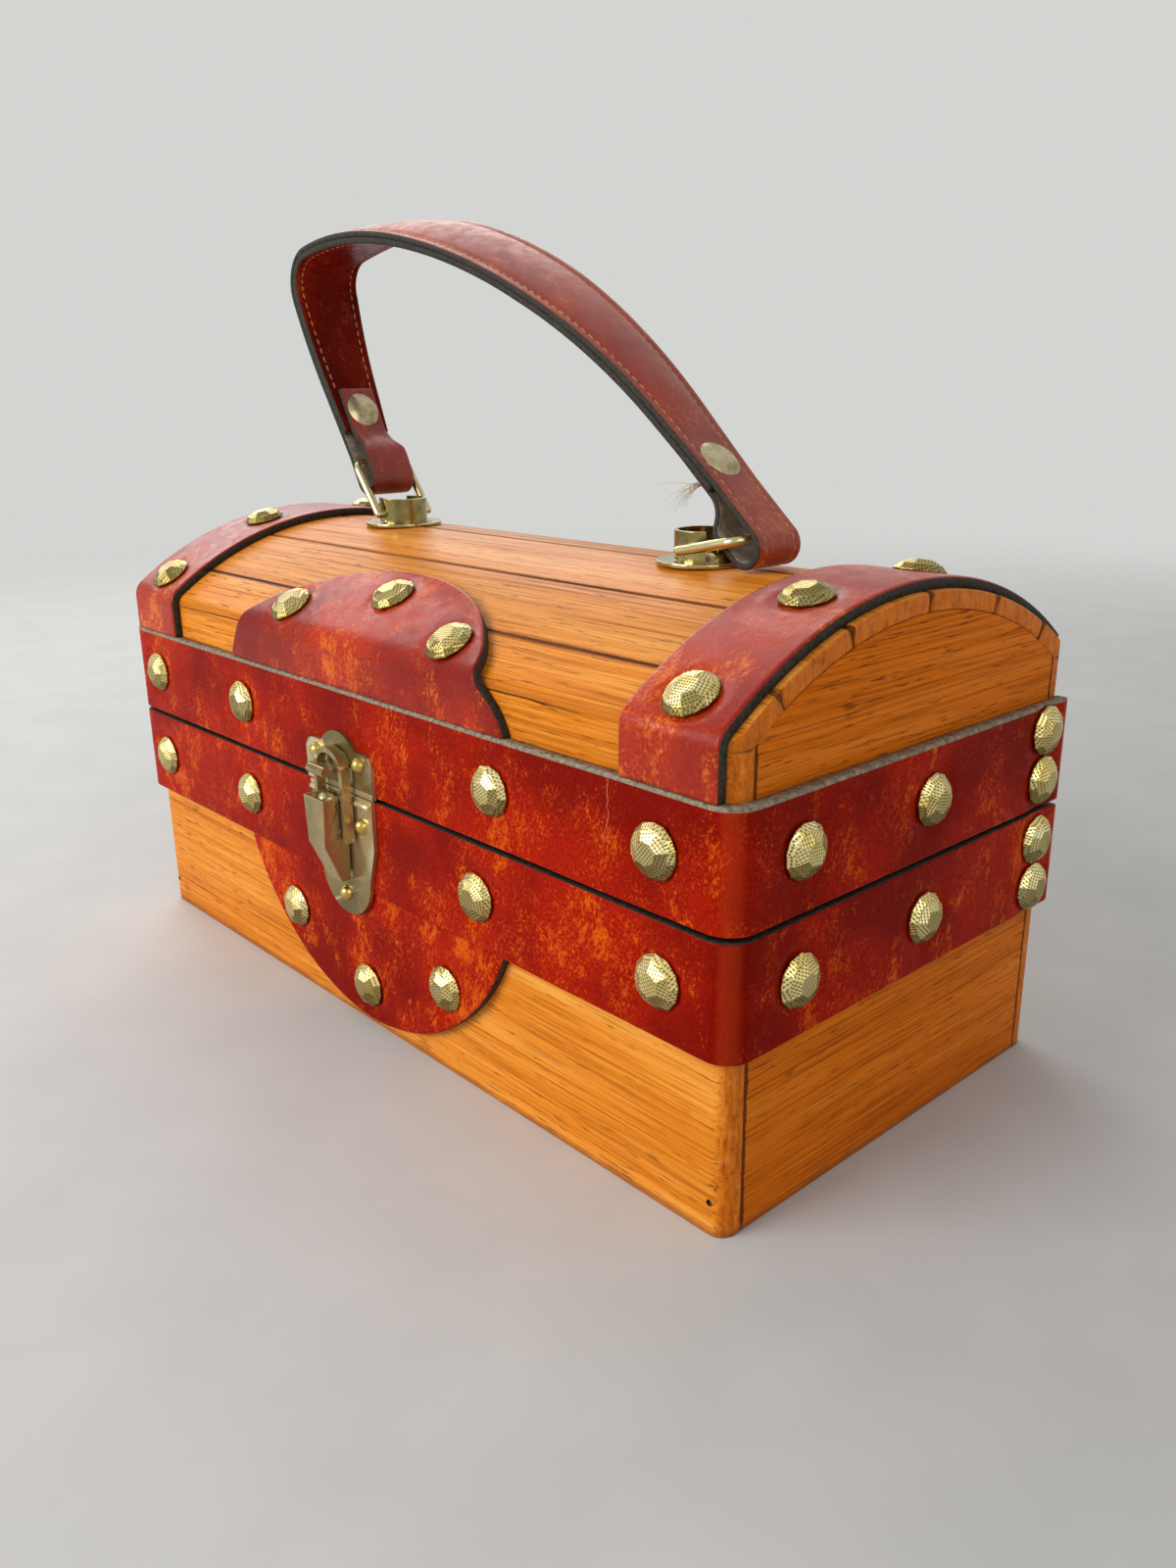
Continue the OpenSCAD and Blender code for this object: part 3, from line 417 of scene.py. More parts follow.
# Board and end marks: wear, and painted shade along the parting line; the base also gets painted shade along
# its bottom edge
BOARD_WEAR_AND_SHADE = (cut_ends, partial(rubbed_ends, worn=0.2), parting_shade)
END_WEAR_AND_SHADE = (end_seam, parting_shade)
END_LOOK = {"shine": 0.03, "streak": 0.42}
M_FRONT = wood("front_board_wood", 0, 1.0, HONEY, (*BOARD_WEAR_AND_SHADE, shaded_foot))
M_BACK = wood("back_board_wood", 0, 4.2, HONEY, (*BOARD_WEAR_AND_SHADE, shaded_foot))
M_LEFT_END = wood("left_end_wood", 1, 2.6, END, (*END_WEAR_AND_SHADE, shaded_foot), **END_LOOK)
M_RIGHT_END = wood("right_end_wood", 1, 7.7, END, (*END_WEAR_AND_SHADE, shaded_foot), **END_LOOK)
M_RAIL = wood("lid_rail_wood", 0, 9.1, HONEY, BOARD_WEAR_AND_SHADE)
M_ARCH = wood("lid_end_wood", 1, 5.5, END, END_WEAR_AND_SHADE, **END_LOOK)
M_PLAIN = wood("bottom_board_wood", 0, 12.4, PLAIN, (cut_ends,), gloss=0.6)
STAVE_TONES = (HONEY, AMBER, HONEY, AMBER, AMBER, HONEY)
STAVE_JOINTS = (-60, -29.4, -15.8, 0, 15.8, 29.4, 60)
DEEP, RED, FLECK = "7c0a02", "aa1a03", "dc5c0c"
# Both bands carry a painted highlight on their corners
M_BAND = leather("lower_band_leather", 1.0, DEEP, RED, FLECK, 0.05, lean=0.4, rub_and_highlight=0.3)
M_LID_BAND = leather("upper_band_leather", 3.3, DEEP, RED, FLECK, 0.06, lean=0.4, rub_and_highlight=0.3, crack=CRACK_X)
M_LOWER_TONGUE = leather("lower_tongue_leather", 5.6, DEEP, "ae1c03", FLECK, 0.4, (620, 620, 200), lean=0.3)
M_TONGUE = leather("upper_tongue_leather", 5.1, DEEP, "b82a08", "de680e", 0.16, (800, 800, 300),
                   0.3, 0.16, 0.3)
M_STRAP = leather("strap_leather", 6.4, "901a0a", "ba3410", "e27020", 0.18, (700, 260, 500), 0.3, 0.2, 0.3)
M_HANDLE = leather("handle_leather", 8.2, "7c2012", "9e321a", "bc562a", 0.04, (200, 600, 300), 0.4, 0.6, 0.95)
# Inner layer: its own leather, darker than the outer one, partly as painted shade on the inside of the grip
M_INNER = leather("handle_inner_leather", 9.6, "5c0e06", "801c0e", "a83a18", 0.1, (200, 600, 300))
M_FUZZ = cut_edge("raw_leather_edge", "524536", "b3a48c", 800)
M_BLACK = cut_edge("black_leather_edge", "0e0d0b", "48443a", 900)
M_THREAD = cut_edge("stitching_thread", "a05a2c", "e0a468", 2500)
M_SUEDE = cut_edge("leather_flesh_side", "7c6c60", "bcae9e", 700)
M_FRAY = cut_edge("frayed_thread", "b8a88c", "e6dcc6", 2500)
M_STUD = hammered("hammered_stud_brass")
# Latch metal: grain, painted light on sideways faces, and paler edges that are partly painted highlight
LATCH_WEAR_AND_LIGHT = {"grain": 300, "sides": "c6966a", "rub_and_highlight": "e2d4a8"}
M_BRONZE = metal("latch_bronze", "a5925e", "5e5030", 0.22, patina=0.7, metallic=0.7, **LATCH_WEAR_AND_LIGHT)
M_PLATE = metal("latch_plate_bronze", "948250", "4e4226", 0.2, patina=0.8, metallic=0.72, **LATCH_WEAR_AND_LIGHT)
# Painted highlight: the rolled knuckle is much paler than the lever and plates
M_KNUCKLE = metal("latch_knuckle_bronze", "dccb98", "8a7a4c", 0.24, grain=420, metallic=0.6)
M_NAIL = metal("latch_nail_brass", "d0b263", "8f7838", 0.25)
M_GOLD = metal("pale_gold_plate", "d9cb9d", "a4935f", 0.16, patina=0.3)
# The cups' paler edges are partly painted highlight
M_CUP = metal("bracket_brass", "b3a268", "4c421e", 0.16, grain=300, patina=0.85, rub_and_highlight="efe2b4")
M_CAP = metal("rivet_cap_brass", "d2c29c", "85754e", 0.3, grain=900, patina=0.8, metallic=0.8)
M_HINGE = metal("hinge_brass", "b89a55", "7a6433", 0.36)
M_IRON = metal("panel_pin_iron", "6a4a30", "38241a", 0.5)
M_FELT = felt("dark_red_felt")


# Tools for meshes
def soften(made, width, segments, angle):
    """Rounds the edges of an object that are sharper than an angle."""
    soft = made.modifiers.new("bevel", "BEVEL")
    soft.width = width * MM
    soft.segments = segments
    soft.limit_method = "ANGLE"
    soft.angle_limit = radians(angle)
    return soft


def dress(name, material, bevel, segments):
    """Gives a solid its material, softens its edges and evens its shading."""
    node = nodes[name]
    node.data.materials.clear()
    node.data.materials.append(material)
    if bevel:
        weld = node.modifiers.new("weld", "WELD")
        weld.merge_threshold = 0.01 * MM
        soften(node, bevel, segments, 35).use_clamp_overlap = True
        even = node.modifiers.new("even", "WEIGHTED_NORMAL")
        even.keep_sharp = True


def ring_grid(rows, size, first):
    """Quads of a tube of rows of points, each row a closed ring, with both ends capped."""
    faces = []
    for near in range(first, first + (rows - 1) * size, size):
        for k in range(size):
            j = (k + 1) % size
            faces.append((near + k, near + j, near + size + j, near + size + k))
    last = first + (rows - 1) * size
    return faces + [tuple(range(first, first + size)), tuple(range(last, last + size))]


def circle(sides):
    """Corners of a regular polygon of radius 1."""
    return [(cos(k * 2 * pi / sides), sin(k * 2 * pi / sides)) for k in range(sides)]


def piece(name, tubes, body, materials, kinds=None, cap=0, smooth=True, stands_for=()):
    """A mesh piece that rides on a body, from tubes of closed rings of points, capped at both ends.

    kinds are the materials of the strips between two rings, cap that of the ends."""
    points, faces, face_kinds = [], [], []
    for rings in tubes:
        size = len(rings[0])
        faces += ring_grid(len(rings), size, len(points))
        face_kinds += (kinds or [0] * size) * (len(rings) - 1) + [cap] * 2
        points += [p for ring in rings for p in ring]
    mesh = bpy.data.meshes.new(name)
    mesh.from_pydata((np.asarray(points, float) * MM).tolist(), [], faces)
    for material in materials:
        mesh.materials.append(material)
    mesh.polygons.foreach_set("material_index", np.array(face_kinds, np.int32))
    mesh.polygons.foreach_set("use_smooth", np.full(len(mesh.polygons), smooth))
    tidy = bmesh.new()
    tidy.from_mesh(mesh)
    bmesh.ops.remove_doubles(tidy, verts=tidy.verts, dist=1e-7)
    bmesh.ops.recalc_face_normals(tidy, faces=tidy.faces)
    tidy.to_mesh(mesh)
    tidy.free()
    made = bpy.data.objects.new(name, mesh)
    scene.collection.objects.link(made)
    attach(made, body)
    if stands_for:
        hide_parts(*stands_for)


def waves(seed, count, reach):
    """A smooth seeded wobble of one or more lengths, about -1 to 1."""
    draw = random.Random(seed)
    turn = 6.28
    terms = []
    for _ in range(6):
        height = draw.uniform(0.4, 1.0)
        rates = [draw.uniform(-1, 1) / reach for _ in range(count)]
        terms.append((height, rates, draw.uniform(0, turn)))
    total = sum(height for height, rates, phase in terms)

    def at(*values):
        wobble = 0.0
        for height, rates, phase in terms:
            wobble += height * np.sin(turn * sum(r * v for r, v in zip(rates, values)) + phase)
        return float(wobble) / total

    return at


def rounded(depth, edge, radius):
    """Thickness at a distance from a rounded edge."""
    inside = min(1.0, max(0.0, edge / radius))
    return depth - radius + radius * sqrt(1 - (1 - inside) ** 2)


def dimple(studs, *place):
    """How far the nearest stud draws leather in at a place: in a ring round its rim, and under its head."""
    past_rim = np.linalg.norm(studs - place, axis=1).min() - STUD_D / 2
    ring_deep, ring_wide, ring_out, head_deep = 0.45, 1.3, 0.2, 0.35
    return ring_deep * exp(-((past_rim - ring_out) / ring_wide) ** 2) + (head_deep if past_rim < 0 else 0.0)


def edged(width, edge_rows, margin, count):
    """Rows across a width, close together at both edges."""
    edge_rows = np.array(edge_rows)
    return np.concatenate((edge_rows, np.linspace(margin, width - margin, count), width - edge_rows[::-1]))


# Leather bands
def band_path():
    """Places and outward normals of the band's path on the wood, from the left end's back to the right's."""
    step, corner_rows = 1.6, 12
    run = []
    for y in np.arange(BAND_BACK, -HALF_DEP + CORNER_R, -step):
        run.append((-HALF_LEN, y, -1.0, 0.0))
    for side, start in ((-1, pi), (1, 1.5 * pi)):
        mid_x, mid_y = side * (HALF_LEN - CORNER_R), -HALF_DEP + CORNER_R
        for a in np.linspace(start, start + pi / 2, corner_rows):
            c, s = cos(a), sin(a)
            run.append((mid_x + CORNER_R * c, mid_y + CORNER_R * s, c, s))
        if side < 0:
            for x in np.arange(-HALF_LEN + CORNER_R + step, HALF_LEN - CORNER_R - step / 2, step):
                run.append((x, -HALF_DEP, 0.0, -1.0))
    for y in np.append(np.arange(-HALF_DEP + CORNER_R + step, BAND_BACK, step), BAND_BACK):
        run.append((HALF_LEN, y, 1.0, 0.0))
    return np.array(run)


def band_stud_places(z, front):
    """Places of a band's studs on the wood: a row in front, two studs and a pair at each end."""
    places = [(x, -HALF_DEP, z) for x in front]
    for side in (-1, 1):
        places += [(side * HALF_LEN, y, z) for y in END_STUDS]
        places += [(side * HALF_LEN, END_PAIR_Y, z + k * END_PAIR / 2) for k in (-1, 1)]
    return places


def band_piece(node, body, z0, front, material, raw_top, past, seed):
    """Leather band that reaches a little past its solid at the parting line, so that the line is thin."""
    path = band_path()
    heights = edged(BAND_H, (0, 0.1, 0.25, 0.5, 0.9), 1.6, 19)
    wobble, edge_wave = waves(seed, 2, 60), waves(seed + 1, 1, 45)
    studs = np.array(band_stud_places(z0 + BAND_H / 2, front))
    parting = BAND_H if past > 0 else 0
    rings = []
    run = np.concatenate(([0], np.cumsum(np.linalg.norm(np.diff(path[:, :2], axis=0), axis=1))))
    for (x, y, nx, ny), s in zip(path, run):
        sway = BAND_SWAY * edge_wave(s)
        ring = []
        for z in (BAND_H, BAND_H * 0.5, 0):
            ring.append((x + nx * SEAT, y + ny * SEAT, z0 + z + (past if z == parting else 0)))
        for z in heights:
            edge = min(z, BAND_H - z)
            out = rounded(BAND_T, edge, BAND_EDGE_R) - dimple(studs, x, y, z0 + z)
            out += BAND_RIPPLE * wobble(s, z) * min(1, edge / 2)
            rise = sway * (z / BAND_H - 0.5) * 2 + past * (1 - abs(parting - z) / BAND_H) ** 4
            ring.append((x + nx * out, y + ny * out, z0 + z + rise))
        rings.append(ring)
    fuzz, black = 1, 2
    kinds = [0] * len(ring)
    kinds[2:4] = kinds[-2:] = [black] * 2
    if raw_top:
        kinds[-5:] = [fuzz] * 5
    materials = (material, M_FUZZ, M_BLACK)
    piece(node + "_leather", [rings], body, materials, kinds, black, stands_for=(node,))


band_piece("base_band", "base", BASE_BAND_Z, BASE_FRONT_STUDS, M_BAND, False, BAND_PAST, 11)
band_piece("lid_band", "lid", LID_BAND_Z, LID_FRONT_STUDS, M_LID_BAND, True, -BAND_PAST, 21)


# Tongues and straps
SHOULDER_RUN = SHOULDER_Z - PART_Z
SHOULDER_BEND = (SHOULDER_R + TONGUE_T) * (pi / 2 - SHOULDER_A)


def lid_place(x, run, out):
    """Place on the lid at a run up from the parting line, over the front shoulder, out from the wood."""
    r = SHOULDER_R + out
    if run <= SHOULDER_RUN:
        return x, -HALF_DEP - out, PART_Z + run
    if run <= SHOULDER_RUN + SHOULDER_BEND:
        a = (run - SHOULDER_RUN) / (SHOULDER_R + TONGUE_T)
        return x, -SHOULDER_Y - r * cos(a), SHOULDER_Z + r * sin(a)
    a = (run - SHOULDER_RUN - SHOULDER_BEND) / (DOME_R + TONGUE_T) - SHOULDER_A
    if a <= SHOULDER_A:
        return x, (DOME_R + out) * sin(a), DOME_Z + (DOME_R + out) * cos(a)
    return x, SHOULDER_Y + r * sin(a), SHOULDER_Z + r * cos(a)


def dome_run(angle):
    """Run from the parting line to an angle on the dome."""
    return SHOULDER_RUN + SHOULDER_BEND + (angle + SHOULDER_A) * (DOME_R + TONGUE_T)


def flat_place(x, run, out):
    """Place on the base's front at a run down from the parting line."""
    return x, -HALF_DEP - out, PART_Z - run


def tongue_piece(node, body, material, place, round_r, chord, studs, lift, notch, seed):
    """Half-round tongue: columns run from the round edge towards the parting line and stop at the band."""
    start = asin(chord / round_r)
    steps = np.concatenate(([0, 0.1, 0.3, 0.6, 1.0, 1.6, 2.6], np.arange(4, 43, 2)))
    wobble, edge_wave = waves(seed, 2, 40), waves(seed + 1, 1, 30)
    studs = np.array(studs, float)
    rings = []
    for a in np.linspace(start, pi - start, 121):
        c, s = cos(a), sin(a)
        radius = round_r + STRAP_SWAY * edge_wave(a * round_r) - notch(a)
        reach = max(0.02, radius - chord / s)
        ring = []
        for i, d in enumerate((reach, reach * 0.5, 0.0, *np.minimum(steps, reach))):
            x, v = (radius - d) * c, (radius - d) * s
            out = SEAT
            if i > 2:
                out = rounded(TONGUE_T, min(d, reach * 3), STRAP_EDGE_R) - dimple(studs, x, v)
                out += STRAP_RIPPLE * wobble(x, v) * min(1, d / 2)
            ring.append(place(x, v, out + lift(a) * max(0, 1 - d / LIFT_REACH) ** 2))
        rings.append(ring)
    kinds = [0] * len(ring)
    kinds[2:4] = [1] * 2
    piece(node + "_leather", [rings], body, (material, M_BLACK), kinds, stands_for=(node,))


def bell(middle, spread, high):
    """A bump of a value round a middle angle in degrees."""
    return lambda a: high * exp(-((degrees(a) - middle) / spread) ** 2)


LOWER_STUDS = ((-TONGUE_STUD_X, LOWER_SIDE), (TONGUE_STUD_X, LOWER_SIDE), (0, LOWER_MID))
UPPER_STUDS = ((-TONGUE_STUD_X, UPPER_SIDE_A), (TONGUE_STUD_X, UPPER_SIDE_A), (0, UPPER_MID_A))
LID_BAND_TOP = LID_BAND_Z + BAND_H - PART_Z + BUTT_GAP
tongue_piece("base_tongue", "base", M_LOWER_TONGUE, flat_place, LOWER_TONGUE_R,
             PART_Z - BASE_BAND_Z + BUTT_GAP, LOWER_STUDS, bell(42, 9, 0.5), bell(0, 1, 0), 31)
tongue_piece("lid_tongue", "lid", M_TONGUE, lid_place, UPPER_TONGUE_R, LID_BAND_TOP,
             [(x, dome_run(radians(a))) for x, a in UPPER_STUDS], bell(38, 6, 0.9), bell(35, 5, 2.0), 41)


def strap_piece(node, side, seed):
    """Strap over the dome, from the lid's band to its end on the back."""
    nose, end = dome_run(-SHOULDER_A), dome_run(STRAP_BACK_A)
    half = STRAP_W / 2
    across = edged(STRAP_W, (0, 0.1, 0.35, 0.7, 1.2), 2.2, 17) - half
    studs = np.array([(0, dome_run(radians(a))) for a in STRAP_STUDS])
    wobble, edge_wave = waves(seed, 2, 40), waves(seed + 1, 1, 50)
    rings = []
    for v in np.concatenate((np.linspace(LID_BAND_TOP, nose, 22)[:-1], np.linspace(nose, end, 92))):
        middle = side * STRAP_X + STRAP_SWAY * edge_wave(v)
        ring = [lid_place(middle + w, v, SEAT) for w in (half, 0.0, -half)]
        for w in across:
            edge = half - abs(w)
            out = rounded(TONGUE_T, edge, STRAP_EDGE_R) - dimple(studs, w, v)
            out += STRAP_RIPPLE * wobble(w, v) * min(1, edge / 2)
            ring.append(lid_place(middle + w, v, out))
        rings.append(ring)
    kinds = [0] * len(ring)
    kinds[2:4] = kinds[-2:] = [1] * 2
    piece(node + "_leather", [rings], "lid", (M_STRAP, M_BLACK), kinds, 1,
          stands_for=(node,))


strap_piece("lid_left_strap", -1, 51)
strap_piece("lid_right_strap", 1, 61)


# Hammered studs
def stud_mesh(draw):
    """Points and faces of one irregular hammered head, standing on z = 0."""
    sides = draw.choice((6, 6, 7))
    turn = draw.uniform(0, 6.28)
    r = STUD_D / 2
    points = []

    def ring(count, radius, height, jitter):
        first = len(points)
        for k in range(count):
            a = turn + k * 2 * pi / count + draw.uniform(-jitter, jitter) * 0.5 / count
            q = radius * (1 + draw.uniform(-jitter, jitter) * 0.12)
            points.append((q * cos(a), q * sin(a), height * (1 + draw.uniform(-jitter, jitter) * 0.05)))
        return list(range(first, first + count))

    rim = 2 * sides
    foot = ring(rim, r * 0.985, 0.0, 0.15)
    skirt = ring(rim, r, 0.45, 0.15)
    for low, high in zip(foot, skirt):
        points[high] = (points[low][0] * 1.01, points[low][1] * 1.01, points[high][2])
    waist = ring(rim, r * 0.8, STUD_H * 0.6, 0.3)
    top = ring(sides, r * 0.44, STUD_H * 0.98, 0.9)
    faces = [foot[::-1], top]
    for k in range(rim):
        j = (k + 1) % rim
        faces.append([foot[k], foot[j], skirt[j], skirt[k]])
    for k in range(sides):
        a, b, c = 2 * k, 2 * k + 1, (2 * k + 2) % rim
        faces.append([top[k], waist[a], waist[b], waist[c], top[(k + 1) % sides]])
        faces.append([waist[a], skirt[a], skirt[b], waist[b]])
        faces.append([waist[b], skirt[b], skirt[c], waist[c]])
    return np.array(points), faces


def stud_frame(origin, out):
    """Turns a stud's z to the outward direction."""
    return Matrix.Translation(Vector(origin)) @ Vector(out).to_track_quat("Z", "Y").to_matrix().to_4x4()


def stud_set(node, body, places, seed):
    """Studs at places and outward directions. Each facet has its own hatching, and a brightness that is
    partly random and partly painted light: lighter on facets that look up, darker on those that look down.
    """
    name = node.removesuffix("s") + "_heads"
    draw = random.Random(seed)
    points, faces, hatch, tones = [], [], [], []
    for origin, out in places:
        local, local_faces = stud_mesh(draw)
        place = stud_frame(origin, out)
        first = len(points)
        points += [tuple(place @ Vector(p)) for p in local]
        for face in local_faces:
            turn = draw.uniform(0, 3.14)
            shift = draw.uniform(0, 9)
            spread = np.cross(local[face[1]] - local[face[0]], local[face[2]] - local[face[0]])
            # Painted light and shade: facets that look up come out lighter, those that look down darker, with
            # a random spread
            lean = (place.to_3x3() @ Vector(spread)).normalized().z - out[2]
            tones.append(min(1.0, max(0.3, 0.72 + 1.1 * lean + draw.uniform(-0.3, 0.3))))
            c, s = cos(turn), sin(turn)
            faces.append([first + k for k in face])
            hatch += [(x * c - y * s + shift, x * s + y * c) for x, y, z in local[face]]
    mesh = bpy.data.meshes.new(name)
    mesh.from_pydata((np.array(points) * MM).tolist(), [], faces)
    mesh.uv_layers.new(name="hatch").data.foreach_set("uv", np.array(hatch, np.float32).ravel())
    mesh.attributes.new("tone_and_light", "FLOAT", "FACE").data.foreach_set("value", tones)
    mesh.materials.append(M_STUD)
    made = bpy.data.objects.new(name, mesh)
    scene.collection.objects.link(made)
    soften(made, 0.14, 2, 6)
    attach(made, body)
    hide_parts(node)


def on_band(places):
    """Places on a band's leather, with their outward directions, over places on the wood."""
    lifted = []
    for x, y, z in places:
        out = (0, -1, 0) if y == -HALF_DEP else (copysign(1, x), 0, 0)
        lifted.append((tuple(Vector((x, y, z)) + Vector(out) * (BAND_T - STUD_SINK)), out))
    return lifted


def on_dome(x, angle):
    """Place on the leather of the dome and its outward direction."""
    a = radians(angle)
    r = DOME_R + TONGUE_T - STUD_SINK
    return (x, r * sin(a), DOME_Z + r * cos(a)), (0, sin(a), cos(a))


stud_set("base_band_studs", "base",
         on_band(band_stud_places(BASE_STUD_Z, BASE_FRONT_STUDS)), 101)
stud_set("lid_band_studs", "lid",
         on_band(band_stud_places(LID_STUD_Z, LID_FRONT_STUDS)), 102)
stud_set("base_tongue_studs", "base",
         [(flat_place(x, v, TONGUE_T - STUD_SINK), (0, -1, 0)) for x, v in LOWER_STUDS], 103)
stud_set("lid_tongue_studs", "lid", [on_dome(x, a) for x, a in UPPER_STUDS], 104)
stud_set("lid_strap_studs", "lid",
         [on_dome(side * STRAP_X, a) for side in (-1, 1) for a in STRAP_STUDS], 105)


# Handle
def walk(start, arcs, step=1.2, step_degrees=7):
    """Rows of x, z, heading and run along arcs of length and turn."""
    x, z, h = start[0], start[1], radians(start[2])
    rows, run = [(x, z, h, 0.0)], 0.0
    for length, turn in arcs:
        count = max(2, ceil(max(length / step, abs(turn) / step_degrees)))
        for _ in range(count):
            dh = radians(turn) / count
            chord = length / count if turn == 0 else 2 * (length / radians(turn)) * sin(dh / 2)
            x += chord * cos(h + dh / 2)
            z += chord * sin(h + dh / 2)
            h += dh
            run += length / count
            rows.append((x, z, h, run))
    return np.array(rows)


def eased(rows, middle, reach, width):
    """Path whose bends within a reach of a middle run are drawn out into longer ones."""
    runs = rows[:, 3]
    made = rows.copy()
    for i, run in enumerate(runs):
        near = exp(-((run - middle) / reach) ** 4)
        weight = np.exp(-((runs - run) / width) ** 2) * np.gradient(runs)
        for k in range(3):
            made[i, k] += near * ((rows[:, k] * weight).sum() / weight.sum() - rows[i, k])
    return made


FOLD_TURN = radians(FOLD_DEG)
FOLD_SHIFT = 2 * LOOP_R - 3 * HANDLE_T
FOLD_R = FOLD_SHIFT / (2 * (1 - cos(FOLD_TURN)))
FOLD_ARC = FOLD_R * FOLD_TURN
FOLD_LEN = 2 * FOLD_R * sin(FOLD_TURN)
LOOP_RUN = LOOP_R * pi + LOOP_STRAIGHT
LINING_TRIM = LOOP_STRAIGHT + FOLD_LEN
STITCH_INSET, TAIL_INSET = 2.6, 1.5
FOLD_ARCS = ((LOOP_R * pi, -180), (LOOP_STRAIGHT, 0), (FOLD_ARC, -FOLD_DEG), (FOLD_ARC, FOLD_DEG),
             (TAIL_LEN, 0))
strap_walk = walk((*HANDLE_START, HANDLE_HEADING), HANDLE_ARCS)
STRAP_LEN = strap_walk[-1, 3]
right_walk = walk((strap_walk[-1, 0], strap_walk[-1, 1], degrees(strap_walk[-1, 2])), FOLD_ARCS)
right_walk[:, 3] += STRAP_LEN
left_walk = walk((*HANDLE_START, HANDLE_HEADING + 180), [(length, -turn) for length, turn in FOLD_ARCS])
left_walk = left_walk[::-1].copy()
left_walk[:, 2] -= pi
left_walk[:, 3] *= -1
left_walk = eased(left_walk, -LOOP_RUN - FOLD_ARC, 6.5, 4.0)
full_walk = np.vstack((left_walk[:-1], strap_walk, right_walk[1:]))


def smooth_step(value, low, high):
    """A smooth step from 0 to 1 between two values."""
    t = min(1.0, max(0.0, (value - low) / (high - low)))
    return t * t * (3 - 2 * t)


def roll(run):
    """Twist of the strap along its grip, in radians."""
    twist, start, full, end = radians(-15), 80, 150, 275
    return twist * smooth_step(run, start, full) * (1 - smooth_step(run, full, end))


def crown(run):
    """How full the padded middle is along the strap."""
    return smooth_step(run, 30, 52) * (1 - smooth_step(run, STRAP_LEN - 48, STRAP_LEN - 28))


def half_width(row):
    """Half of the strap's width, which tapers from the grip to its ends and again along its folded tails."""
    z, run = row[1], row[3]
    if run < 0 or run > STRAP_LEN:
        past_loop = max(-run, run - STRAP_LEN) - LOOP_RUN
        return END_W / 2 - TAIL_INSET * smooth_step(past_loop, 0, FOLD_ARC)
    t = min(1.0, max(0.0, (z - TAPER_LOW) / (TAPER_HIGH - TAPER_LOW)))
    return (END_W + (GRIP_W - END_W) * t) / 2


def strap_place(row, w, d):
    """Place on the strap: w across it, d in from its outer face."""
    x, z, h, run = row
    turn, mid = roll(run), HANDLE_T
    across = w * cos(turn) - (d - mid) * sin(turn)
    deep = mid + w * sin(turn) + (d - mid) * cos(turn)
    return x + deep * sin(h), across, z - deep * cos(h)


# How far in from the strap's edges the rows of its rounding lie
ROLL_1, ROLL_2, ROLL_3 = 0.12, 0.4, 0.9


def groove(w, stitch, deep):
    """Depth of the grooves in which the stitches lie."""
    return deep * exp(-((abs(w) - stitch) / 0.55) ** 2)


def section_ring(first, face, last, back):
    """Closed ring from half of the outer edges, one face, half of the inner edges and the other face."""
    mirrored = [(-w, d) for w, d in reversed(first)] + [(-w, d) for w, d in reversed(last)]
    return first + face + mirrored + back + last


def outer_section(row):
    """Ring of (w, d) points round the outer layer."""
    half, full, t = half_width(row), crown(row[3]), HANDLE_T
    stitch = half - STITCH_INSET
    flank = half - ROLL_3
    face = []
    for w in np.concatenate((np.linspace(flank, stitch + 0.5, 3), np.linspace(stitch, -stitch, 25),
                             np.linspace(-stitch - 0.5, -flank, 3))):
        swell = 1.25 * full * max(0.0, cos(w / stitch * pi / 2)) ** 0.7 if abs(w) < stitch else 0.0
        face.append((w, groove(w, stitch, 0.28) * min(1, full + 0.35) - swell))
    first = [(half, t * 0.5), (half - ROLL_1, t * 0.25), (half - ROLL_2, t * 0.06)]
    last = [(half - ROLL_2, t * 0.97), (half - ROLL_1, t * 0.8)]
    return section_ring(first, face, last, [(w, t) for w in np.linspace(-flank, flank, 7)])


def lining_section(row):
    """Ring of (w, d) points round the inner layer."""
    half = half_width(row) - 0.1
    stitch = half - STITCH_INSET
    flank = half - ROLL_3
    low, high = HANDLE_T + 0.02, 2 * HANDLE_T + 0.2
    first = [(half, (low + high) / 2), (half - ROLL_1, low + 0.3), (half - ROLL_2, low)]
    last = [(half - ROLL_2, high - 0.05), (half - ROLL_1, high - 0.3)]
    back = [(w, high - groove(w, stitch, 0.22)) for w in np.linspace(-flank, flank, 19)]
    return section_ring(first, [(w, low) for w in np.linspace(flank, -flank, 7)], last, back)


def swept(node, rows, section, materials):
    """A layer of the strap: its cut edges are the section's points close to its full width."""
    rings = [[strap_place(row, w, d) for w, d in section(row)] for row in rows]
    ring = section(rows[-1])
    far = max(w for w, d in ring) - 0.6
    kinds = []
    for (w, d), (next_w, next_d) in zip(ring, ring[1:] + ring[:1]):
        edge = min(abs(w), abs(next_w)) > far
        under = len(materials) > 2 and min(d, next_d) > 0.9 * HANDLE_T
        kinds.append(1 if edge else 2 if under else 0)
    piece(node + "_leather", [rings], "handle", materials, kinds, 1, stands_for=(node,))


swept("handle_strap", full_walk, outer_section, (M_HANDLE, M_BLACK, M_SUEDE))
lined = (strap_walk[:, 3] >= LINING_TRIM) & (strap_walk[:, 3] <= STRAP_LEN - LINING_TRIM)
swept("handle_lining", strap_walk[lined], lining_section, (M_INNER, M_BLACK))


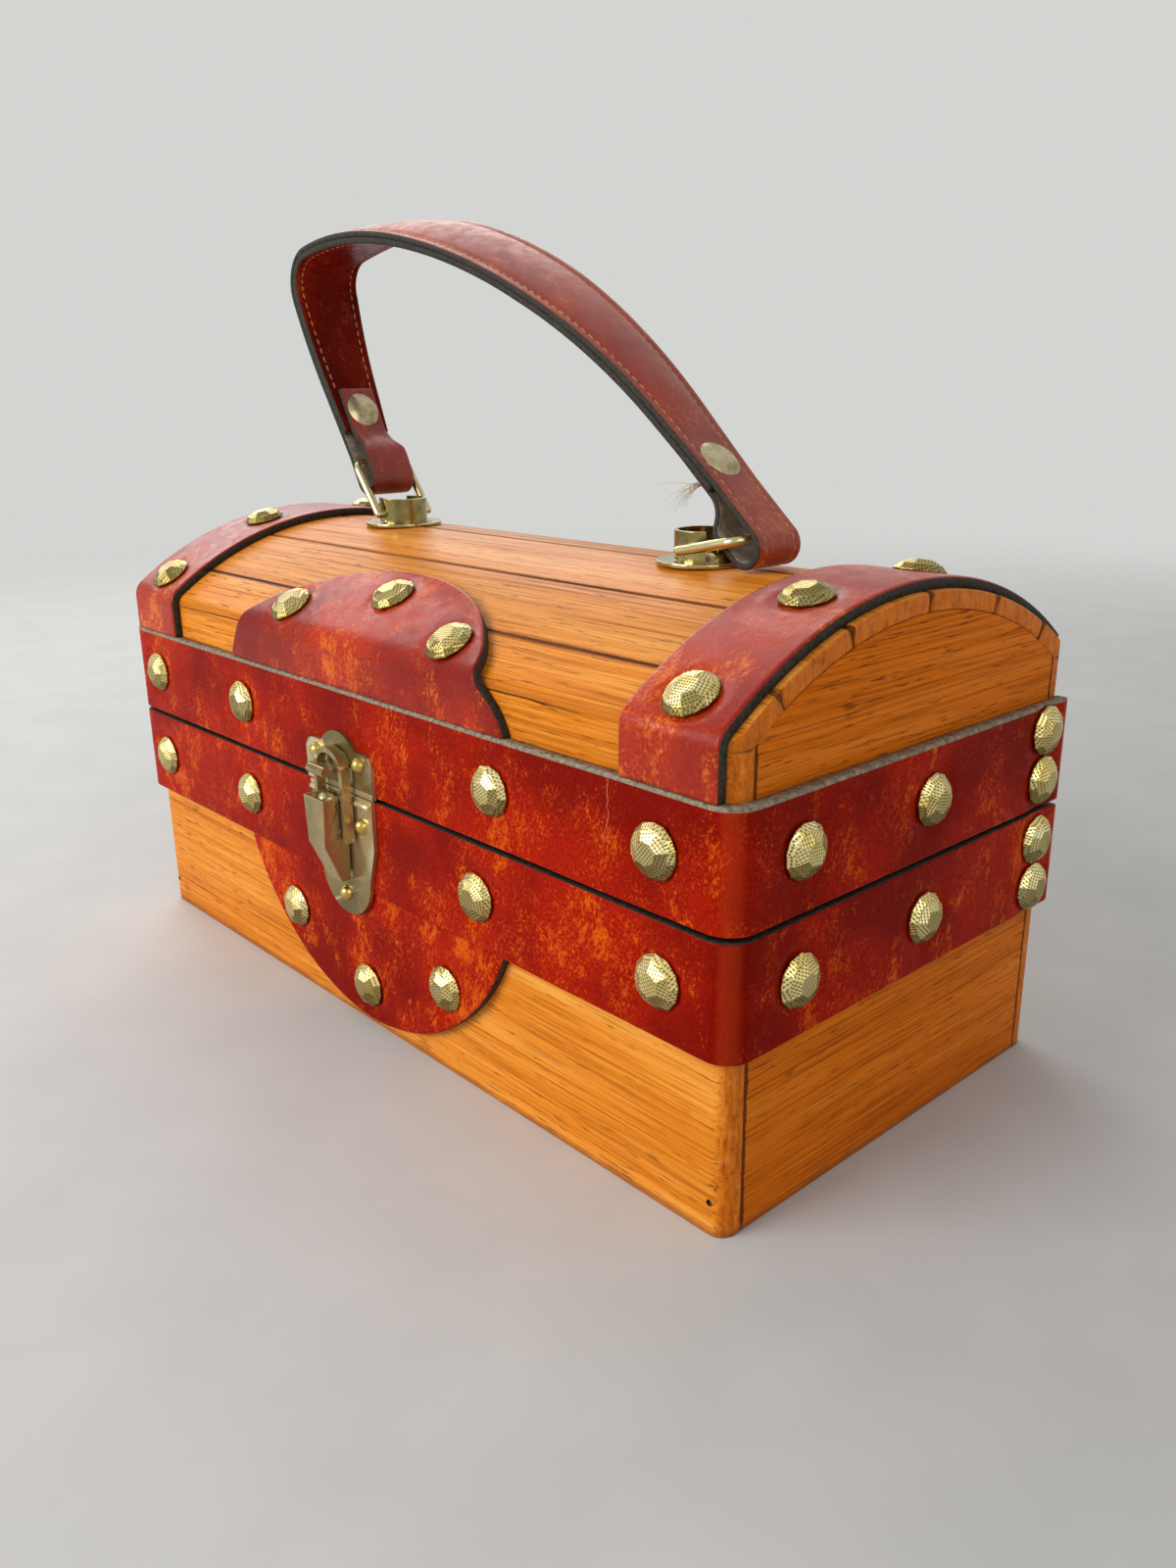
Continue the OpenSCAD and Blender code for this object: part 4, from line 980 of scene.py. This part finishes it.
def stitches(name, depth, low, high, seed):
    """Thread stitches along both edges of one face of the strap, from one run to another."""
    draw = random.Random(seed)
    pitch, length, thick = 3.0, 2.3, 0.3
    dip = 0.14 if depth < HANDLE_T else -0.14
    runs = full_walk[:, 3]
    tubes = []
    for side in (-1, 1):
        run = low
        while run < high:
            size = length * draw.uniform(0.9, 1.08)
            drift = draw.uniform(-0.12, 0.12)
            rings = []
            for t in np.linspace(-0.5, 0.5, 7):
                here = run + t * size
                row = [np.interp(here, runs, full_walk[:, k]) for k in range(3)] + [here]
                middle = side * (half_width(row) - STITCH_INSET) + drift * t
                fat = thick * sqrt(max(0.05, 1 - (2 * t) ** 2))
                sink = depth + dip * (2 * t) ** 2
                rings.append([strap_place(row, middle + fat * c, sink + fat * 0.8 * s) for c, s in circle(6)])
            tubes.append(rings)
            run += pitch
    piece(name, tubes, "handle", (M_THREAD,))


INNER_STITCH_TRIM = LINING_TRIM + TAIL_LEN + 2
stitches("handle_outer_stitching", 0.12, -9.0, STRAP_LEN + 9.0, 71)
stitches("handle_inner_stitching", 2 * HANDLE_T + 0.12, INNER_STITCH_TRIM, STRAP_LEN - INNER_STITCH_TRIM, 72)


def thread_tuft(name, root, seed):
    """Frayed ends of the sewing thread behind the right fold."""
    draw = random.Random(seed)
    threads, rows = 24, 6

    def drawn(*spans):
        """Vector with each coordinate drawn from its span."""
        return Vector([draw.uniform(low, high) for low, high in spans])

    tubes = []
    for _ in range(threads):
        spot = Vector(root) + drawn((-0.6, 0.6), (-1.6, 1.6), (-0.6, 0.6))
        way = Vector((-1, draw.uniform(-0.5, 0.3), draw.uniform(-0.9, 0.5))).normalized()
        long = draw.uniform(4.5, 11.0)
        rings = []
        for i in range(rows):
            thick = 0.085 * (1 - 0.12 * i)
            rings.append([tuple(spot + Vector((0, c, s)) * thick) for c, s in circle(4)])
            way = (way + drawn((-0.25, 0.25), (-0.25, 0.25), (-0.5, 0.1))).normalized()
            spot = spot + way * long / (rows - 1)
        tubes.append(rings)
    piece(name, tubes, "handle", (M_FRAY,))


thread_tuft("handle_frayed_thread", strap_place(right_walk[-10], -6.0, -0.05), 73)


# Latch details
LATCH_X, LATCH_Y, PLATE_T = -5.0, -HALF_DEP - BAND_T, 1.2
LEVER_PIVOT_W, LEVER_PIVOT_Z = 4.5, 67.85
PLATE_TOP_Z = BASE_BAND_Z + BAND_H
STRIKE_HALF, PLATE_HALF, STRIKE_Z = 16.0, 15.0, LID_BAND_Z + 0.3
KNUCKLE_R, LIP_R = 2.05, 0.9
EDGE_INSET, EDGE_LAP, EDGE_GAP = 0.05, 0.6, 0.2


def latch_rods(name, spans, w, z, radius):
    """Round bars across the latch plate with eased ends, each from one x to another."""
    ease, tubes = 0.25, []
    for low, high in spans:
        rows = ((low, 0.8), (low + ease, 1.0), (high - ease, 1.0), (high, 0.8))
        rings = []
        for x, share in rows:
            r = radius * share
            rings.append([(LATCH_X + x, LATCH_Y - w - r * c, z + r * s) for c, s in circle(24)])
        tubes.append(rings)
    piece(name, tubes, "base", (M_KNUCKLE,))


latch_rods("latch_knuckle", ((-3.6, -0.8), (0.8, 3.6)), LEVER_PIVOT_W, LEVER_PIVOT_Z, KNUCKLE_R)
latch_rods("latch_plate_lip", ((-14.4, -7.9), (7.9, 14.4)), PLATE_T + 0.2, PLATE_TOP_Z - LIP_R, LIP_R)


def plate_edge(name, body, half, low, high):
    """Strip of sheet metal that carries a latch plate on to the parting line."""
    back, front, ease = 0.02, PLATE_T + 0.04, 0.3
    arc = [(ease * sin(a), ease * (1 - cos(a))) for a in np.linspace(0, pi / 2, 5)]
    section = [(back, low)] + [(front - ease + w, low + z) for w, z in arc]
    section += [(front - ease + w, high - z) for w, z in reversed(arc)] + [(back, high)]
    rings = [[(LATCH_X + x, LATCH_Y - w, z) for w, z in section] for x in (-half, half)]
    piece(name, [rings], body, (M_PLATE,), smooth=False)


plate_edge("strike_plate_edge", "lid", STRIKE_HALF - EDGE_INSET, PART_Z + EDGE_GAP, STRIKE_Z + EDGE_LAP)
plate_edge("latch_plate_edge", "base", PLATE_HALF - EDGE_INSET, PLATE_TOP_Z - EDGE_LAP, PART_Z - EDGE_GAP)


# Linings
FELT_EASE = 0.05


def tray_ring(grow, z, corner):
    """Rounded rectangle ring inside the base, drawn in by a distance."""
    long, deep = INNER_X - grow - corner, INNER_Y - grow - corner
    ring = []
    for side_x, side_y, start in ((1, 1, 0), (-1, 1, 90), (-1, -1, 180), (1, -1, 270)):
        for i in range(6):
            a = radians(start + 18 * i)
            ring.append((side_x * long + corner * cos(a), side_y * deep + corner * sin(a), z))
    return ring


def tray(node):
    """Felt lining of the base's floor and walls, with a soft fillet between them."""
    rim, floor = BASE_H - FELT_DROP, BOTTOM_T + FELT_T
    fillet, sharp, soft = 2.5, 0.3, 1.2
    rings = [tray_ring(FELT_EASE, BOTTOM_T + FELT_EASE, sharp), tray_ring(FELT_EASE, rim - 0.3, sharp),
             tray_ring(0.2, rim, sharp), tray_ring(FELT_T - 0.2, rim, soft),
             tray_ring(FELT_T, rim - 0.3, soft)]
    rings += [tray_ring(FELT_T, z, soft) for z in np.linspace(rim - 6, floor + fillet, 7)]
    for i in range(1, 6):
        a = radians(18 * i)
        inward, down = fillet * (1 - cos(a)), fillet * (1 - sin(a))
        rings.append(tray_ring(FELT_T + inward, floor + down, soft + 0.3 * i))
    rings += [tray_ring(FELT_T + fillet + g, floor, 3.0) for g in (8, 20, 35, 48)]
    piece(node + "_felt", [rings], "base", (M_FELT,), stands_for=(node,))


def lid_felt(node):
    """Felt lining under the staves."""
    outer = DOME_R - STAVE_T - FELT_EASE
    inner = outer - FELT_T + 0.1
    half = asin(INNER_Y / (DOME_R - STAVE_T)) - 0.001
    length = INNER_X - FELT_EASE
    wobble = waves(81, 2, 50)
    angles = np.linspace(-half, half, 61)
    rings = []
    for x in np.linspace(-length, length, 45):
        arc = [(a, outer) for a in angles]
        arc += [(a, inner - 0.12 * (1 + wobble(x, a * 90))) for a in angles[::-1]]
        rings.append([(x, r * sin(a), DOME_Z + r * cos(a)) for a, r in arc])
    piece(node + "_felt", [rings], "lid", (M_FELT,), stands_for=(node,))


tray("base_lining")
lid_felt("lid_lining")

# Carried-over solids, with the widths of their softened edges
for material, bevel, segments, names in (
    (M_FRONT, 0.5, 2, "base_front_board"),
    (M_BACK, 0.5, 2, "base_back_board"),
    (M_LEFT_END, 0.4, 2, "base_left_end_board"),
    (M_RIGHT_END, 0.4, 2, "base_right_end_board"),
    (M_PLAIN, 0.3, 2, "base_bottom_board"),
    (M_RAIL, 0.4, 2, "lid_front_rail lid_back_rail"),
    (M_ARCH, 0.35, 2, "lid_left_end lid_right_end"),
    (M_PLATE, 0.45, 3, "strike_plate latch_base_plate"),
    (M_BRONZE, 0.3, 3, "latch_lever latch_bail"),
    (M_CUP, 0.2, 2, "left_bracket right_bracket"),
    (M_HINGE, 0.15, 2, "left_hinge_base_leaf left_hinge_lid_leaf right_hinge_base_leaf right_hinge_lid_leaf"),
    (M_IRON, 0, 0, "base_panel_pins"),
    (M_NAIL, 0, 0, "strike_pins latch_base_pins latch_lever_pin latch_bail_pin"),
    (M_GOLD, 0, 0, "left_ring right_ring"),
    (M_HINGE, 0, 0, "left_hinge_pin right_hinge_pin hinge_base_nails hinge_lid_nails"),
    (M_CAP, 0, 0, "bracket_rivets handle_rivets"),
):
    for name in names.split():
        dress(name, material, bevel, segments)
for number, tones in enumerate(STAVE_TONES, 1):
    joints = partial(stave_joints, joints=STAVE_JOINTS[number - 1:number + 1])
    marks = [cut_ends, partial(rubbed_ends, worn=0.45), joints]
    if number in (1, len(STAVE_TONES)):
        marks.append(nose_crack)
    stave_wood = wood(f"stave_{number}_wood", 0, 14.0 + 3.3 * number, tones, marks)
    dress(f"lid_stave_{number}", stave_wood, 0.7, 3)

# Floor, which fades into the background
FLOOR_HALF, FADE_START, FADE_END = 1.3, 0.5, 1.2
ground = Look("pale_floor", roughness=0.6, specular=0.2)
ground.finish(ground.ramp(ground.noise(30, detail=4), ((0.3, "c9c9c7"), (0.7, "cfcfcd"))))
spot = ground.value("TexCoord", output="Object")
from_middle = ground.value("VectorMath", {0: spot}, "Value", operation="LENGTH")
clear = ground.value("BsdfTransparent")
solid = Value(ground, ground.bsdf.outputs[0])
blended = ground.value("MixShader", {0: from_middle.step(FADE_START, FADE_END), 1: solid, 2: clear})
ground.fill(ground.tree.nodes["Material Output"], {"Surface": blended})
floor_mesh = bpy.data.meshes.new("floor")
floor_corners = [(x * FLOOR_HALF, y * FLOOR_HALF, 0) for x, y in ((-1, -1), (1, -1), (1, 1), (-1, 1))]
floor_mesh.from_pydata(floor_corners, [], [(0, 1, 2, 3)])
floor_mesh.materials.append(ground.owner)
floor = bpy.data.objects.new("floor", floor_mesh)
scene.collection.objects.link(floor)

# Soft light, and the pale background that the camera and reflections see
sky = Look("studio", kind="worlds")
scene.world = sky.owner
camera_ray = sky.value("LightPath", output="Is Camera Ray")
glossy_ray = sky.value("LightPath", output="Is Glossy Ray")
through_ray = sky.value("LightPath", output="Is Transmission Ray")
shown = sky.value("Math", {0: camera_ray + glossy_ray, 1: through_ray}, use_clamp=True)
lit = sky.tree.nodes["Background"]
sky.fill(lit, {"Color": "e6e6e4", "Strength": 0.45})
seen = sky.value("Background", {"Color": "d4d5d2"})
choose = sky.value("MixShader", {0: shown, 1: Value(sky, lit.outputs[0]), 2: seen})
sky.fill(sky.tree.nodes["World Output"], {"Surface": choose})


def area_light(name, place, target, size, power):
    """A soft rectangular light, in metres, that looks at a target."""
    data = bpy.data.lights.new(name, "AREA")
    data.shape = "RECTANGLE"
    data.size, data.size_y = size
    data.energy = power
    made = bpy.data.objects.new(name, data)
    made.location = place
    made.rotation_euler = (Vector(target) - Vector(place)).to_track_quat("-Z", "Y").to_euler()
    scene.collection.objects.link(made)


area_light("key", (-0.35, -1.1, 0.6), (0, 0, 0.08), (0.8, 0.6), 12.0)
area_light("fill", (1.0, -0.3, 0.55), (0, 0, 0.08), (0.7, 0.7), 2.2)
area_light("sky", (-0.95, 0.35, 0.75), (0, 0, 0.1), (1.1, 0.8), 7.0)

# Camera, as fitted to the photograph
CAMERA_PLACE = (0.27494, -0.23108, 0.17469)
camera = bpy.data.cameras.new("camera")
camera.lens = 28.612
camera.sensor_width = 36.0
camera.clip_start = 0.01
view = bpy.data.objects.new("camera", camera)
view_right = Vector((0.67606, 0.73677, -0.01081)).normalized()
view_back = Vector((0.70295, -0.64048, 0.30927)).normalized()
view_up = view_back.cross(view_right).normalized()
view_right = view_up.cross(view_back)
view_turn = Matrix((view_right, view_up, view_back)).transposed()
view.matrix_world = Matrix.Translation(CAMERA_PLACE) @ view_turn.to_4x4()
scene.collection.objects.link(view)
scene.camera = view
scene.view_settings.view_transform = "Standard"
